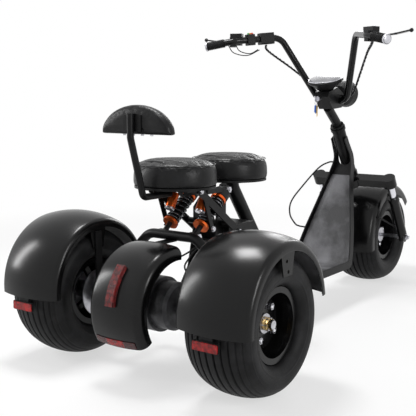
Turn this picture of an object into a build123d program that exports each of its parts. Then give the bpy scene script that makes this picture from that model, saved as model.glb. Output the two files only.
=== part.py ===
from build123d import *
import copy
import math
import os

os.makedirs("parts", exist_ok=True)

# Electric golf trike. X points to the rider's right, Y forwards, Z up, in millimetres.
# While it is modelled, Y = 0 is the rear axle. The finished trike is moved so that
# Y = 0 is halfway between its rearmost and its foremost point.

# Driving dimensions: wheels and stance
TYRE_R = 224.0
TYRE_W = 224.0
TREAD_SAG = 44.0
BEAD_R = 110.0
BEAD_DEPTH = 11.0
RIM_BORE_FIT = 0.3
TRACK = 726.0
WHEELBASE = 1625.0
HALF_TRACK = TRACK / 2
AXLE_Z = TYRE_R
RIM_W = 172.0
FLANGE_R = 117.0
RIM_LIP = 4.0
RIM_WALL = 4.0
DISC_OUT = 40.0
DISC_PLATE_R = 76.0
DISC_T = 6.0
LUG_PCD = 110.0
LUG_COUNT = 4
HUB_R = 34.0
SHAFT_R = 14.0
RUN_CLEAR = 0.3
NUT_ACROSS = 36.0
LUG_ACROSS = 19.0
LUG_H = 13.0
AXLE_R = 9.0
AXLE_NUT = 24.0
FORK_LUG_T = 24.0
SHAFT_END_X = 216.0
BRAKE_R = 82.0
BRAKE_T = 4.0
BRAKE_X = 104.0

# Rear mudguards: a dome of revolution about a centre above the wheel's
GUARD_X = 368.0
GUARD_Y = 4.0
GUARD_Z = 251.0
GUARD_R = 245.0
GUARD_HALF_W = 127.0
GUARD_SAG = 22.0
GUARD_SHOULDER = 22.0
GUARD_WALL = 4.0
GUARD_ARCH_R = 197.0
GUARD_FRONT_DEG = 8.0
GUARD_REAR_DEG = 184.0
TAB_W = 52.0
TAB_LOW_Z = 381.0
TAB_BOLTS = ((-24.0, 425.0), (-15.0, 393.0))
BOLT_R = 4.0

# Middle mudguard over the motor
MID_Y = -25.0
MID_Z = 228.0
MID_R = 198.0
MID_HALF_W = 106.0
MID_SAG = 10.0
MID_SHOULDER = 30.0
MID_FLANK = 46.0
MID_FRONT_DEG = 84.0
MID_REAR_DEG = 211.0

# Steering geometry: a raked axis with the fork tubes a little ahead of it
RAKE_DEG = 33.0
AXIS_POINT = (1611.6, 215.3)
FORK_AHEAD = 16.0
FORK_HALF = 175.0
HEAD_LOW = 375.0
HEAD_HIGH = 640.0
HEAD_R = 29.0
HEAD_BORE_R = 21.0
STEM_R = 20.0
STEM_TOP = (1168.0, 836.0)
FORK_TUBE_R = 16.0
SLIDER_R = 22.0
SLIDER_TOP = 238.0
YOKE_LOW = 318.0
YOKE_T = 38.0
YOKE_BOSS_R = 30.0
FRONT_GUARD_R = 260.0
FRONT_GUARD_HALF = 122.0
FRONT_GUARD_LOW = 200.0
FRONT_GUARD_DEG = (40.0, 191.0)
STAY_R = 4.0
STAY_KNOB_R = 5.5

# Handlebar, lamp and controls
BAR_R = 14.0
BAR_PATH = ((0, 1212, 868), (66, 1212, 868), (176, 1057, 1136), (302, 890, 1116), (401, 835, 1094))
BAR_BENDS = (52.0, 60.0, 60.0)
GRIP_R = 17.5
GRIP_LEN = 108.0
CLAMP_HALF = 33.0
GAUGE_C = (1141.0, 950.0)
GAUGE_TILT = 15.0
GAUGE_R = 76.0
LAMP_R = 60.0
LAMP_C = (1266.0, 898.0)
LAMP_LEN = 72.0

# Main tube and footboard
SPINE_R = 27.0
DOWN_TOP = (1376.0, 578.0)
DOWN_CORNER = (1169.0, 126.0)
SPINE_END_Y = 236.0
BOARD_T = 5.0
BOARD_LIP = 24.0
BOARD_LIP_T = 5.0
BOARD_PATH = ((1290, 712), (1355, 611), (1291, 475), (1178, 220), (1148, 157), (645, 157))
BOARD_BENDS = (60.0, 120.0, 120.0, 46.0)
BOARD_HALF = ((712, 34), (684, 35), (611, 42), (538, 55), (475, 70), (392, 91), (310, 112), (220, 130), (150, 141))
MAT_T = 3.0
MAT_INSET = 10.0

# Seats
SEAT_HALF_W = 143.0
SEAT_HALF_L = 135.0
SEAT_BASE_Z = 600.0
SEAT_H = 84.0
PAN_T = 8.0
REAR_SEAT_Y = 97.0
FRONT_SEAT_Y = 408.0
SEAT_CLEAR = 0.3
BACK_PAD_Y = -87.0
BACK_PAD_Z = 772.0
BACK_PAD_H = 93.0
BACK_PAD_HALF = 140.0
BACK_PAD_T = 46.0
BACK_POST_R = 11.0

# Suspension
SHOCK_X = 64.0
SHOCK_TOP = (290.0, 571.0)
SHOCK_EYE = (113.0, 432.0)
DAMPER_R = 9.0
SHOCK_BODY_R = 17.5
WIRE_R = 3.6
EYE_R = 14.0
EYE_W = 26.0
EAR_T = 4.0
EAR_SPREAD = EYE_W / 2 + EAR_T / 2 + RUN_CLEAR
PIN_R = 6.0
CAP_R = 28.0
SPRING_LOW = 58.0
SPRING_HIGH = 58.0
SPRING_TURNS = 6.0
COLLAR_R = 27.0
COLLAR_H = 9.0
CAN_R = 17.0
CAN_LOW = (148.0, 514.0)
CAN_HIGH = (176.0, 560.0)
PLATE_X = 48.0
PLATE_T = 5.0
HOOP_Y = 80.0
HOOP_Z = 434.0
HOOP_R = 16.0
HOOP_FOOT_HALF = 160.0

NODES = {}


def keep(name, shape):
    """Store a finished piece under its plain name."""
    NODES[name] = shape


def both_sides(shape):
    """A piece and its mirror image on the other side of the trike."""
    return Compound(children=[shape, mirror(shape, about=Plane.YZ)])


def tube_along(points, radii, outer, bore=0.0):
    """A round tube whose straight runs are joined by arcs of the given radii."""
    path = FilletPolyline(*points, radius=list(radii)) if len(points) > 2 else Line(*points)
    ring = Circle(outer) - Circle(bore) if bore else Circle(outer)
    plane = Plane(origin=path @ 0, z_dir=path % 0)
    return sweep(plane * ring, path=path)


def bar_between(start, end, radius):
    """A straight round bar from one point to another."""
    start, end = Vector(*start), Vector(*end)
    axis = end - start
    plane = Plane(origin=start, z_dir=axis)
    return extrude(plane * Circle(radius), axis.length)


def flat_between(start, end, width, thick, side=(1, 0, 0)):
    """A straight flat bar; its width lies across the given side direction."""
    start, end = Vector(*start), Vector(*end)
    axis = end - start
    plane = Plane(origin=start, x_dir=side, z_dir=axis)
    return extrude(plane * Rectangle(thick, width), axis.length)


def side_plate(points, x_mid, thick):
    """A flat plate with a (Y, Z) outline, standing across X."""
    plane = Plane(origin=(x_mid - thick / 2, 0, 0), x_dir=(0, 1, 0), z_dir=(1, 0, 0))
    return extrude(plane * make_face(Polyline(*points, close=True)), thick)


def wheel_place(shape, x, y, z):
    """Move a piece made about the X axis to a wheel's centre."""
    return Pos(x, y, z) * shape


def crowned(radius, half_w, sag, shoulder):
    """Half an arched section: the crown's arc, then a rounded shoulder down to the flank."""
    crown = (half_w**2 + sag**2) / (2 * sag)
    mid_y = radius - crown
    cx = half_w - shoulder
    reach = math.sqrt((crown - shoulder) ** 2 - cx**2)
    turn = math.atan2(cx, reach)
    meet = (crown * math.sin(turn), mid_y + crown * math.cos(turn))
    half_turn = turn / 2
    mid_crown = (crown * math.sin(half_turn), mid_y + crown * math.cos(half_turn))
    bow = (turn + math.pi / 2) / 2
    cy = mid_y + reach
    mid_round = (cx + shoulder * math.sin(bow), cy + shoulder * math.cos(bow))
    return meet, mid_crown, mid_round, (half_w, cy)


def arched_face(radius, half_w, sag, shoulder, low):
    """The whole closed face under an arched section, down to the radius low."""
    meet, mid_crown, mid_round, flank = crowned(radius, half_w, sag, shoulder)
    arcs = Curve() + [
        ThreePointArc((-meet[0], meet[1]), (0, radius), meet),
        ThreePointArc(meet, mid_round, flank),
        Line(flank, (half_w, low)),
        Line((half_w, low), (-half_w, low)),
        Line((-half_w, low), (-flank[0], flank[1])),
        ThreePointArc((-flank[0], flank[1]), (-mid_round[0], mid_round[1]), (-meet[0], meet[1])),
    ]
    return make_face(arcs)


def shell_arc(radius, half_w, sag, shoulder, low, wall, start, end):
    """A mudguard: an arched shell turned about X from one angle to another."""
    outer = arched_face(radius, half_w, sag, shoulder, low)
    inner = arched_face(radius - wall, half_w - wall, sag, shoulder - wall, low - 1)
    return Rot(start, 0, 0) * revolve(outer - inner, Axis.X, end - start)


# Wheels
def tyre():
    """A round-shouldered tyre whose beads sit inside the rim's flanges, about the X axis."""
    half = TYRE_W / 2
    bead_x = RIM_W / 2 - RIM_LIP - RIM_BORE_FIT
    low = BEAD_R - BEAD_DEPTH
    tread_drop = TREAD_SAG * 0.45
    edge = (half * 0.74, TYRE_R - tread_drop)
    bulge = (half * 0.95, TYRE_R - TREAD_SAG)
    wide = (half, (TYRE_R + FLANGE_R) / 2 + 4)
    low_bulge = (half * 0.97, FLANGE_R + 16)
    bead = (bead_x, FLANGE_R + 1.5)
    right = [ThreePointArc(edge, bulge, wide), ThreePointArc(wide, low_bulge, bead), Line(bead, (bead_x, low))]
    left = [mirror(piece, about=Plane.YZ) for piece in right]
    crown = ThreePointArc((-edge[0], edge[1]), (0, TYRE_R), edge)
    face = make_face(Curve() + [crown, *right, Line((bead_x, low), (-bead_x, low)), *left])
    return revolve(face, Axis.X, 360)


def rim():
    """A pressed steel rim: two flanges, the barrel, and a dished disc set outwards."""
    out = RIM_W / 2
    barrel = BEAD_R - BEAD_DEPTH - RIM_BORE_FIT
    lip = out - RIM_LIP
    bore = barrel - RIM_WALL
    ring = make_face(Polyline(
        (out, FLANGE_R - 2), (out - 2, FLANGE_R), (lip, FLANGE_R), (lip, barrel), (-lip, barrel),
        (-lip, FLANGE_R), (-out + 2, FLANGE_R), (-out, FLANGE_R - 2), (-out, bore + 2),
        (-out + 16, bore), (out - 16, bore), (out, bore + 2), close=True))
    dish = make_face(Polyline(
        (DISC_OUT, SHAFT_R), (DISC_OUT, DISC_PLATE_R), (DISC_OUT - 10, DISC_PLATE_R + 9),
        (DISC_OUT - 16, bore + 0.5), (DISC_OUT - 24, bore + 0.5), (DISC_OUT - 16, DISC_PLATE_R + 5),
        (DISC_OUT - DISC_T, DISC_PLATE_R - 2), (DISC_OUT - DISC_T, SHAFT_R), close=True))
    return revolve(ring, Axis.X, 360) + revolve(dish, Axis.X, 360)


def x_disc(x_low, x_high, radius, bore=0.0):
    """A round disc or collar about the X axis between two X positions."""
    plane = Plane(origin=(x_low, 0, 0), x_dir=(0, 1, 0), z_dir=(1, 0, 0))
    ring = Circle(radius) - Circle(bore) if bore else Circle(radius)
    return extrude(plane * ring, x_high - x_low)


def x_hex(x_low, x_high, across, y=0.0, z=0.0):
    """A hexagonal nut about an axis parallel to X."""
    plane = Plane(origin=(x_low, y, z), x_dir=(0, 1, 0), z_dir=(1, 0, 0))
    return extrude(plane * RegularPolygon(across / 2, 6, major_radius=False), x_high - x_low)


def lug_nuts(first_deg):
    """The nuts that hold the rim's disc, on their pitch circle."""
    nuts = []
    for k in range(LUG_COUNT):
        turn = math.radians(first_deg + 360 / LUG_COUNT * k)
        y, z = LUG_PCD / 2 * math.cos(turn), LUG_PCD / 2 * math.sin(turn)
        nuts.append(x_hex(DISC_OUT, DISC_OUT + LUG_H, LUG_ACROSS, y, z))
    return nuts


def rear_hub():
    """A rear hub: shaft end, flange, castle nut, lug nuts and the brake disc inboard."""
    back = DISC_OUT - DISC_T
    hub = x_disc(SHAFT_END_X - HALF_TRACK, DISC_OUT + 36, SHAFT_R - 0.5)
    hub += x_disc(-BRAKE_X, back, HUB_R - 6)
    hub += x_disc(back - 12, back, DISC_PLATE_R - 6)
    hub += x_disc(DISC_OUT, DISC_OUT + 8, HUB_R - 4)
    hub += x_hex(DISC_OUT + 8, DISC_OUT + 24, NUT_ACROSS)
    hub += x_disc(DISC_OUT + 24, DISC_OUT + 30, NUT_ACROSS / 2 - 2)
    hub += x_disc(-BRAKE_X - BRAKE_T, -BRAKE_X, BRAKE_R, SHAFT_R - 1)
    for nut in lug_nuts(55):
        hub += nut
    return hub


def front_hub():
    """The front hub with its brake disc; the axle runs through its bore."""
    back = DISC_OUT - DISC_T
    hub = x_disc(-60, back, HUB_R + 14)
    hub += x_disc(back - 12, back, DISC_PLATE_R - 6)
    hub += x_disc(DISC_OUT, DISC_OUT + 24, HUB_R)
    hub += x_disc(back, DISC_OUT, SHAFT_R - 0.5)
    hub += x_disc(-BRAKE_X - BRAKE_T, -60, HUB_R - 8)
    hub += x_disc(-BRAKE_X - BRAKE_T, -BRAKE_X, BRAKE_R)
    hub -= x_disc(-BRAKE_X - 20, DISC_OUT + 30, AXLE_R + RUN_CLEAR)
    for nut in lug_nuts(20):
        hub += nut
    return hub


def front_axle():
    """The front axle with a nut on each side of both fork lugs."""
    axle = x_disc(-FORK_HALF - 30, FORK_HALF + 30, AXLE_R)
    near, far = FORK_LUG_T / 2 + RUN_CLEAR, FORK_LUG_T / 2 + 12
    for side in (-1, 1):
        for low, high in ((FORK_HALF - far, FORK_HALF - near), (FORK_HALF + near, FORK_HALF + far)):
            axle += x_hex(min(side * low, side * high), max(side * low, side * high), AXLE_NUT)
    return axle


for side_name, sign in (("left", -1), ("right", 1)):
    for part_name, maker in (("tyre", tyre), ("rim", rim), ("hub", rear_hub)):
        piece = maker()
        if sign < 0:
            piece = mirror(piece, about=Plane.YZ)
        keep(f"rear_{part_name}_{side_name}", wheel_place(piece, sign * HALF_TRACK, 0, AXLE_Z))
for part_name, maker in (("tyre", tyre), ("rim", rim), ("hub", front_hub), ("axle", front_axle)):
    keep(f"front_{part_name}", wheel_place(maker(), 0, WHEELBASE, AXLE_Z))


# Rear mudguards with a bolting tab on each flank
def rear_guard():
    """The right rear mudguard."""
    dome = shell_arc(GUARD_R, GUARD_HALF_W, GUARD_SAG, GUARD_SHOULDER, GUARD_ARCH_R,
                     GUARD_WALL, GUARD_FRONT_DEG, GUARD_REAR_DEG)
    dome = wheel_place(dome, GUARD_X, GUARD_Y, GUARD_Z)
    flank = GUARD_X + GUARD_HALF_W
    tab_mid = (TAB_BOLTS[0][0] + TAB_BOLTS[1][0]) / 2
    sides = ((flank - GUARD_WALL / 2, TAB_LOW_Z), (GUARD_X - GUARD_HALF_W + GUARD_WALL / 2, TAB_LOW_Z + 30))
    for x, low in sides:
        tab = side_plate(((tab_mid - TAB_W / 2 - 12, GUARD_Z + GUARD_ARCH_R + 8),
                          (tab_mid - TAB_W / 2 + 4, low), (tab_mid + TAB_W / 2, low),
                          (tab_mid + TAB_W / 2 + 14, GUARD_Z + GUARD_ARCH_R + 8)), x, GUARD_WALL)
        for y, z in TAB_BOLTS:
            tab -= Pos(x, y, z) * Rot(0, 90, 0) * Cylinder(BOLT_R, 3 * GUARD_WALL)
            dome -= Pos(x, y, z) * Rot(0, 90, 0) * Cylinder(BOLT_R, 3 * GUARD_WALL)
        dome += tab
    return dome


guard_right = rear_guard()
keep("rear_guard_right", guard_right)
keep("rear_guard_left", mirror(guard_right, about=Plane.YZ))

mid_guard = wheel_place(shell_arc(MID_R, MID_HALF_W, MID_SAG, MID_SHOULDER, MID_R - MID_FLANK,
                                  GUARD_WALL, MID_FRONT_DEG, MID_REAR_DEG), 0, MID_Y, MID_Z)
keep("mid_guard", mid_guard)


# Rear axle, swing arm, hoop and brackets
AXLE_TUBE_R = 24.0
AXLE_TUBE_END = 242.0
MOTOR_R = 78.0
MOTOR_HALF = 92.0
ARM_X = 165.0
PIVOT = (207.0, 215.0)
PIVOT_R = 14.0
PIVOT_HALF = 178.0
ARM_W = 24.0
ARM_H = 34.0
BRACKET_T = 4.5
BRACKET_W = 30.0
STRAP_Z = 466.0
STRAP_CUT = 30.0
CALIPER_DEG = 62.0


def rear_axle():
    """The motor and gear housing with an axle tube and brake flange on each side."""
    body = x_disc(-MOTOR_HALF, MOTOR_HALF, MOTOR_R)
    body = chamfer(body.edges().filter_by(GeomType.CIRCLE), 10)
    body += x_disc(-30, 30, MOTOR_R + 12)
    for side in (-1, 1):
        ends = sorted((side * (MOTOR_HALF - 12), side * AXLE_TUBE_END))
        tube = x_disc(ends[0], ends[1], AXLE_TUBE_R)
        flange = sorted((side * (AXLE_TUBE_END - 22), side * (AXLE_TUBE_END - 15)))
        body += tube
        body += x_disc(flange[0], flange[1], AXLE_TUBE_R + 18)
        bore = sorted((side * (SHAFT_END_X - 6), side * (AXLE_TUBE_END + 2)))
        body -= x_disc(bore[0], bore[1], SHAFT_R - 0.5 + RUN_CLEAR)
    return Pos(0, 0, AXLE_Z) * body


def caliper():
    """The right rear brake caliper, straddling its disc, on an arm from the brake flange."""
    disc_mid = HALF_TRACK - BRAKE_X - BRAKE_T / 2
    block = Pos(disc_mid, 0, BRAKE_R - 6) * Box(24, 52, 34)
    block -= Pos(disc_mid, 0, BRAKE_R - 20) * Box(BRAKE_T + 10, 70, 44)
    arm_x = AXLE_TUBE_END - 12.0
    arm = Pos(arm_x, 0, BRAKE_R / 2 + 18) * Box(5, 30, BRAKE_R - 4)
    arm -= x_disc(arm_x - 5, arm_x + 5, AXLE_TUBE_R + RUN_CLEAR)
    bridge = Pos((arm_x + disc_mid - 8) / 2, 0, BRAKE_R + 5) * Box(disc_mid - 8 - arm_x, 30, 8)
    return Pos(0, 0, AXLE_Z) * Rot(CALIPER_DEG - 90, 0, 0) * (block + arm + bridge)


def swing_arm():
    """The pivot tube with an arm back to the axle on each side."""
    arm = Pos(0, PIVOT[0], PIVOT[1]) * x_disc(-PIVOT_HALF, PIVOT_HALF, PIVOT_R)
    run = PIVOT[0] - PIVOT_R / 2
    for side in (-1, 1):
        beam = Pos(side * ARM_X, run / 2, (PIVOT[1] + AXLE_Z) / 2) * Box(ARM_W, run, ARM_H)
        arm += beam
    return arm - Pos(0, 0, AXLE_Z) * x_disc(-PIVOT_HALF, PIVOT_HALF, AXLE_TUBE_R + RUN_CLEAR)


def rear_hoop():
    """The bent tube over the motor, with the lower ears of both shock absorbers."""
    foot = (PIVOT[1] + AXLE_Z) / 2 + ARM_H / 2 + SEAT_CLEAR
    half, top = HOOP_FOOT_HALF, HOOP_Z
    points = [(-half, HOOP_Y, foot), (-half, HOOP_Y, top - 62), (-half + 62, HOOP_Y, top),
              (half - 62, HOOP_Y, top), (half, HOOP_Y, top - 62), (half, HOOP_Y, foot)]
    hoop = tube_along(points, (60, 60, 60, 60), HOOP_R)
    for side in (-1, 1):
        for offset in (-EAR_SPREAD, EAR_SPREAD):
            x = side * SHOCK_X + offset
            hoop += side_plate(((HOOP_Y, HOOP_Z - 12), (SHOCK_EYE[0] + 8, SHOCK_EYE[1] - 12),
                                (SHOCK_EYE[0] + 12, SHOCK_EYE[1]), (SHOCK_EYE[0] + 8, SHOCK_EYE[1] + 12),
                                (HOOP_Y, HOOP_Z + 12)), x, EAR_T)
    hoop -= Pos(0, *SHOCK_EYE) * x_disc(-120, 120, PIN_R + RUN_CLEAR)
    tongue_top = MID_Z + MID_R - GUARD_WALL - 1.6
    hoop += Pos(0, (HOOP_Y + MID_Y) / 2, tongue_top - 2) * Box(40, HOOP_Y - MID_Y, 4)
    return hoop


def guard_bracket():
    """The leg and the strap that hold the right mudguard by its tabs."""
    y = (TAB_BOLTS[0][0] + TAB_BOLTS[1][0]) / 2
    inner = GUARD_X - GUARD_HALF_W
    outer = GUARD_X + GUARD_HALF_W
    top = TAB_BOLTS[0][1] + 14
    foot = AXLE_Z + 4
    leg = Pos(inner - BRACKET_T / 2 - RUN_CLEAR, y, (top + foot) / 2) * Box(BRACKET_T, BRACKET_W, top - foot)
    leg -= Pos(0, 0, AXLE_Z) * x_disc(inner - 10, inner + 4, AXLE_TUBE_R + RUN_CLEAR)
    strap_in = inner + GUARD_WALL + RUN_CLEAR
    strap_out = outer - GUARD_WALL - RUN_CLEAR
    low_in, low_out = TAB_BOLTS[0][1] - 10, TAB_BOLTS[1][1] - 8
    t, cut = BRACKET_T, STRAP_CUT
    frame_line = Polyline(
        (strap_in, low_in), (strap_in, STRAP_Z - cut), (strap_in + cut, STRAP_Z), (strap_out - cut, STRAP_Z),
        (strap_out, STRAP_Z - cut), (strap_out, low_out), (strap_out - t, low_out),
        (strap_out - t, STRAP_Z - cut - t / 2), (strap_out - cut - t / 2, STRAP_Z - t),
        (strap_in + cut + t / 2, STRAP_Z - t), (strap_in + t, STRAP_Z - cut - t / 2),
        (strap_in + t, low_in), close=True)
    plane = Plane(origin=(0, y + BRACKET_W / 2, 0), x_dir=(1, 0, 0), z_dir=(0, -1, 0))
    strap = extrude(plane * make_face(frame_line), BRACKET_W)
    return Compound(children=[leg, strap])


keep("rear_axle", rear_axle())
keep("rear_calipers", both_sides(caliper()))
keep("swing_arm", swing_arm())
keep("rear_hoop", rear_hoop())
keep("guard_brackets", both_sides(guard_bracket()))


# Shock absorbers between the frame and the hoop
def shock_frame(x):
    """A plane at the lower eye whose Z runs up the shock absorber."""
    run = Vector(0, SHOCK_TOP[0] - SHOCK_EYE[0], SHOCK_TOP[1] - SHOCK_EYE[1])
    return Plane(origin=(x, *SHOCK_EYE), x_dir=(1, 0, 0), z_dir=run), run.length


def canister_hull(x):
    """The space round the gas reservoir that its neighbours leave free."""
    low, high = Vector(x, *CAN_LOW), Vector(x, *CAN_HIGH)
    plane = Plane(origin=low, x_dir=(1, 0, 0), z_dir=high - low)
    return plane.location * Pos(0, 0, -1) * Cylinder(CAN_R + RUN_CLEAR, (high - low).length + 1 + RUN_CLEAR,
                                                     align=(Align.CENTER, Align.CENTER, Align.MIN))


def damper(x):
    """The rod, the body, the top cap and the eye at each end."""
    plane, length = shock_frame(x)
    eye = Rot(0, 90, 0) * Cylinder(EYE_R, EYE_W)
    body = eye + Pos(0, 0, length) * eye
    body += Pos(0, 0, EYE_R - 2) * Cylinder(DAMPER_R, 60, align=(Align.CENTER, Align.CENTER, Align.MIN))
    body += Pos(0, 0, 58) * Cylinder(SHOCK_BODY_R, length - 58 - EYE_R + 2,
                                     align=(Align.CENTER, Align.CENTER, Align.MIN))
    body += Pos(0, 0, length - 44) * Cylinder(CAP_R, 30, align=(Align.CENTER, Align.CENTER, Align.MIN))
    hole = Rot(0, 90, 0) * Cylinder(PIN_R + RUN_CLEAR, EYE_W + 2)
    body -= hole
    body -= Pos(0, 0, length) * hole
    arm = Pos(x + 9, 212, 574) * Box(18, 92, 15)
    return plane.location * body + (arm - canister_hull(x))


def spring(x):
    """The coil spring: stacked closed rings at the real pitch stand for its turns."""
    plane, length = shock_frame(x)
    low, high = SPRING_LOW, length - SPRING_HIGH
    pitch = (high - low) / SPRING_TURNS
    rings = []
    for k in range(int(SPRING_TURNS) + 1):
        rings.append(Pos(0, 0, low + k * pitch) * Torus(SHOCK_BODY_R + RUN_CLEAR + WIRE_R, WIRE_R))
    return [plane.location * ring for ring in rings]


def collars(x):
    """The two preload collars that the spring presses on."""
    plane, length = shock_frame(x)
    ring = Cylinder(COLLAR_R, COLLAR_H) - Cylinder(SHOCK_BODY_R + RUN_CLEAR, COLLAR_H + 2)
    low_ring = Cylinder(COLLAR_R, COLLAR_H) - Cylinder(DAMPER_R + RUN_CLEAR, COLLAR_H + 2)
    low = Pos(0, 0, SPRING_LOW - WIRE_R - COLLAR_H / 2 - RUN_CLEAR) * low_ring
    high = Pos(0, 0, length - SPRING_HIGH + WIRE_R + COLLAR_H / 2 + RUN_CLEAR) * ring
    return [plane.location * low, plane.location * high]


def canister(x):
    """The gas reservoir with its end caps, held beside the damper's top cap."""
    low, high = Vector(x, *CAN_LOW), Vector(x, *CAN_HIGH)
    plane = Plane(origin=low, x_dir=(1, 0, 0), z_dir=high - low)
    length = (high - low).length
    body = Cylinder(CAN_R, length, align=(Align.CENTER, Align.CENTER, Align.MIN))
    body += Pos(0, 0, -7) * Cylinder(CAN_R - 2, 8, align=(Align.CENTER, Align.CENTER, Align.MIN))
    body = chamfer(body.edges().filter_by(GeomType.CIRCLE).sort_by(Axis.Z)[-1], 2)
    return plane.location * body


keep("shock_dampers", both_sides(damper(SHOCK_X)))
keep("shock_springs", Compound(children=[*spring(SHOCK_X), *spring(-SHOCK_X)]))
keep("shock_collars", Compound(children=[*collars(SHOCK_X), *collars(-SHOCK_X)]))
keep("shock_canisters", both_sides(canister(SHOCK_X)))

# Tail lamp and reflectors
LAMP_HALF_W = 17.0
LAMP_PROUD = 13.0
LAMP_DEG = (134.0, 171.0)
STRIP_DEG = (203.5, 209.5)
STRIP_HALF = 78.0
REFLECTOR = (89.0, 8.0, 29.0)
REFLECTOR_Z = 207.5
REFLECTOR_Y = -248.0


def tail_lamp():
    """The upright lamp on the middle mudguard's crown."""
    seat_r = MID_R + SEAT_CLEAR
    face = make_face(Polyline((-LAMP_HALF_W, seat_r), (LAMP_HALF_W, seat_r), (LAMP_HALF_W - 2, MID_R + LAMP_PROUD),
                              (-LAMP_HALF_W + 2, MID_R + LAMP_PROUD), close=True))
    lamp = Rot(LAMP_DEG[0], 0, 0) * revolve(face, Axis.X, LAMP_DEG[1] - LAMP_DEG[0])
    return wheel_place(lamp, 0, MID_Y, MID_Z)


def strip_reflector():
    """The curved reflector band along the middle mudguard's lower edge."""
    outer = arched_face(MID_R + 2.5, MID_HALF_W + 2.5, MID_SAG, MID_SHOULDER + 2.5, MID_R - 30)
    inner = arched_face(MID_R + SEAT_CLEAR, MID_HALF_W + SEAT_CLEAR, MID_SAG, MID_SHOULDER, MID_R - 31)
    band = outer - inner
    band &= Pos(0, MID_R, 0) * Rectangle(2 * STRIP_HALF, 60)
    strip = Rot(STRIP_DEG[0], 0, 0) * revolve(band, Axis.X, STRIP_DEG[1] - STRIP_DEG[0])
    return wheel_place(strip, 0, MID_Y, MID_Z)


def guard_reflector():
    """The reflector below the right mudguard's rear edge, on its small plate."""
    plate_y = GUARD_Y - GUARD_R + GUARD_WALL + 3.6
    low = REFLECTOR_Z - 10
    plate = Pos(GUARD_X, plate_y, (low + GUARD_Z) / 2) * Box(40, 3, GUARD_Z - low)
    depth = plate_y - 1.5 - REFLECTOR_Y
    block = Pos(GUARD_X, REFLECTOR_Y + depth / 2, REFLECTOR_Z) * Box(REFLECTOR[0], depth, REFLECTOR[2])
    return plate + block


keep("tail_lamp", tail_lamp())
keep("reflectors", Compound(children=[guard_reflector(), mirror(guard_reflector(), about=Plane.YZ), strip_reflector()]))


# Frame: head tube, down tube and floor tube in one welded piece
def steer_yz(ahead, up):
    """The (Y, Z) of a point given ahead of and up along the raked steering axis."""
    turn = math.radians(RAKE_DEG)
    return (AXIS_POINT[0] + ahead * math.cos(turn) - up * math.sin(turn),
            AXIS_POINT[1] + ahead * math.sin(turn) + up * math.cos(turn))


def steer_plane(x, ahead, up):
    """A plane across the steering axis at a point beside it."""
    turn = math.radians(RAKE_DEG)
    y, z = steer_yz(ahead, up)
    return Plane(origin=(x, y, z), x_dir=(1, 0, 0), z_dir=(0, -math.sin(turn), math.cos(turn)))


def steer_rod(x, ahead, low, high, radius, bore=0.0):
    """A round rod or tube parallel to the steering axis."""
    ring = Circle(radius) - Circle(bore) if bore else Circle(radius)
    return extrude(steer_plane(x, ahead, low) * ring, high - low)


def main_frame():
    """The head tube with its cups, the down tube and the tube along the floor."""
    path = [(0, *DOWN_TOP), (0, *DOWN_CORNER), (0, SPINE_END_Y, DOWN_CORNER[1])]
    frame = tube_along(path, (80,), SPINE_R)
    frame -= steer_rod(0, 0, HEAD_LOW - 40, HEAD_HIGH + 40, HEAD_R - 1)
    frame += steer_rod(0, 0, HEAD_LOW, HEAD_HIGH, HEAD_R, HEAD_BORE_R)
    frame += steer_rod(0, 0, HEAD_LOW, HEAD_LOW + 16, HEAD_R + 4, HEAD_BORE_R)
    frame += steer_rod(0, 0, HEAD_HIGH - 14, HEAD_HIGH, HEAD_R + 4, HEAD_BORE_R)
    return frame


def offset_points(points, distance):
    """The corners of a bent line moved sideways by one distance, keeping its corners sharp."""
    moved = []
    for k in range(len(points)):
        normals = []
        for a, b in ((k - 1, k), (k, k + 1)):
            if a < 0 or b >= len(points):
                continue
            dy, dz = points[b][0] - points[a][0], points[b][1] - points[a][1]
            length = math.hypot(dy, dz)
            normals.append((dz / length, -dy / length))
        ny = sum(n[0] for n in normals)
        nz = sum(n[1] for n in normals)
        scale = 2 * distance / (ny**2 + nz**2) if len(normals) == 2 else distance
        moved.append((points[k][0] + ny * scale, points[k][1] + nz * scale))
    return moved


def board_sheet(distance, thick, half):
    """A sheet that follows the board's bends at a distance on the rider's side."""
    points = offset_points(BOARD_PATH, distance)
    bends = [BOARD_BENDS[0] + distance, BOARD_BENDS[1] - distance, BOARD_BENDS[2], BOARD_BENDS[3] - distance]
    path = FilletPolyline(*points, radius=[max(bend, 12) for bend in bends])
    face = trace(path, thick)
    plane = Plane(origin=(-half, 0, 0), x_dir=(0, 1, 0), z_dir=(1, 0, 0))
    return extrude(plane * face, 2 * half)


def board_outline(inset):
    """The board's outline seen from behind, narrow at the neck and wide at the floor."""
    right = [(half - inset, z) for z, half in BOARD_HALF]
    left = [(-x, z) for x, z in reversed(right)]
    top = BOARD_HALF[0][0] + 30 - inset
    cap = [(-BOARD_HALF[0][1] + inset + 14, top), (BOARD_HALF[0][1] - inset - 14, top)]
    low_half = BOARD_HALF[-1][1] - inset
    points = cap + right + [(low_half, 100), (-low_half, 100)] + left
    face = make_face(Polyline(*points, close=True))
    plane = Plane(origin=(0, 2000, 0), x_dir=(1, 0, 0), z_dir=(0, -1, 0))
    return extrude(plane * face, 2000)


def footboard():
    """The sheet-steel board with a lip turned up all along both sides."""
    wide = BOARD_HALF[-1][1] + 10
    board = board_sheet(0, BOARD_T, wide) & board_outline(0)
    lips = board_sheet(BOARD_LIP / 2, BOARD_T + BOARD_LIP, wide) & (board_outline(0) - board_outline(BOARD_LIP_T))
    board += lips
    board -= steer_rod(0, 0, HEAD_LOW - 40, HEAD_HIGH + 90, HEAD_R + 4 + SEAT_CLEAR)
    board -= seat_tube_solid(SEAT_CLEAR)
    return max(board.solids(), key=lambda solid: solid.volume)


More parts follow.
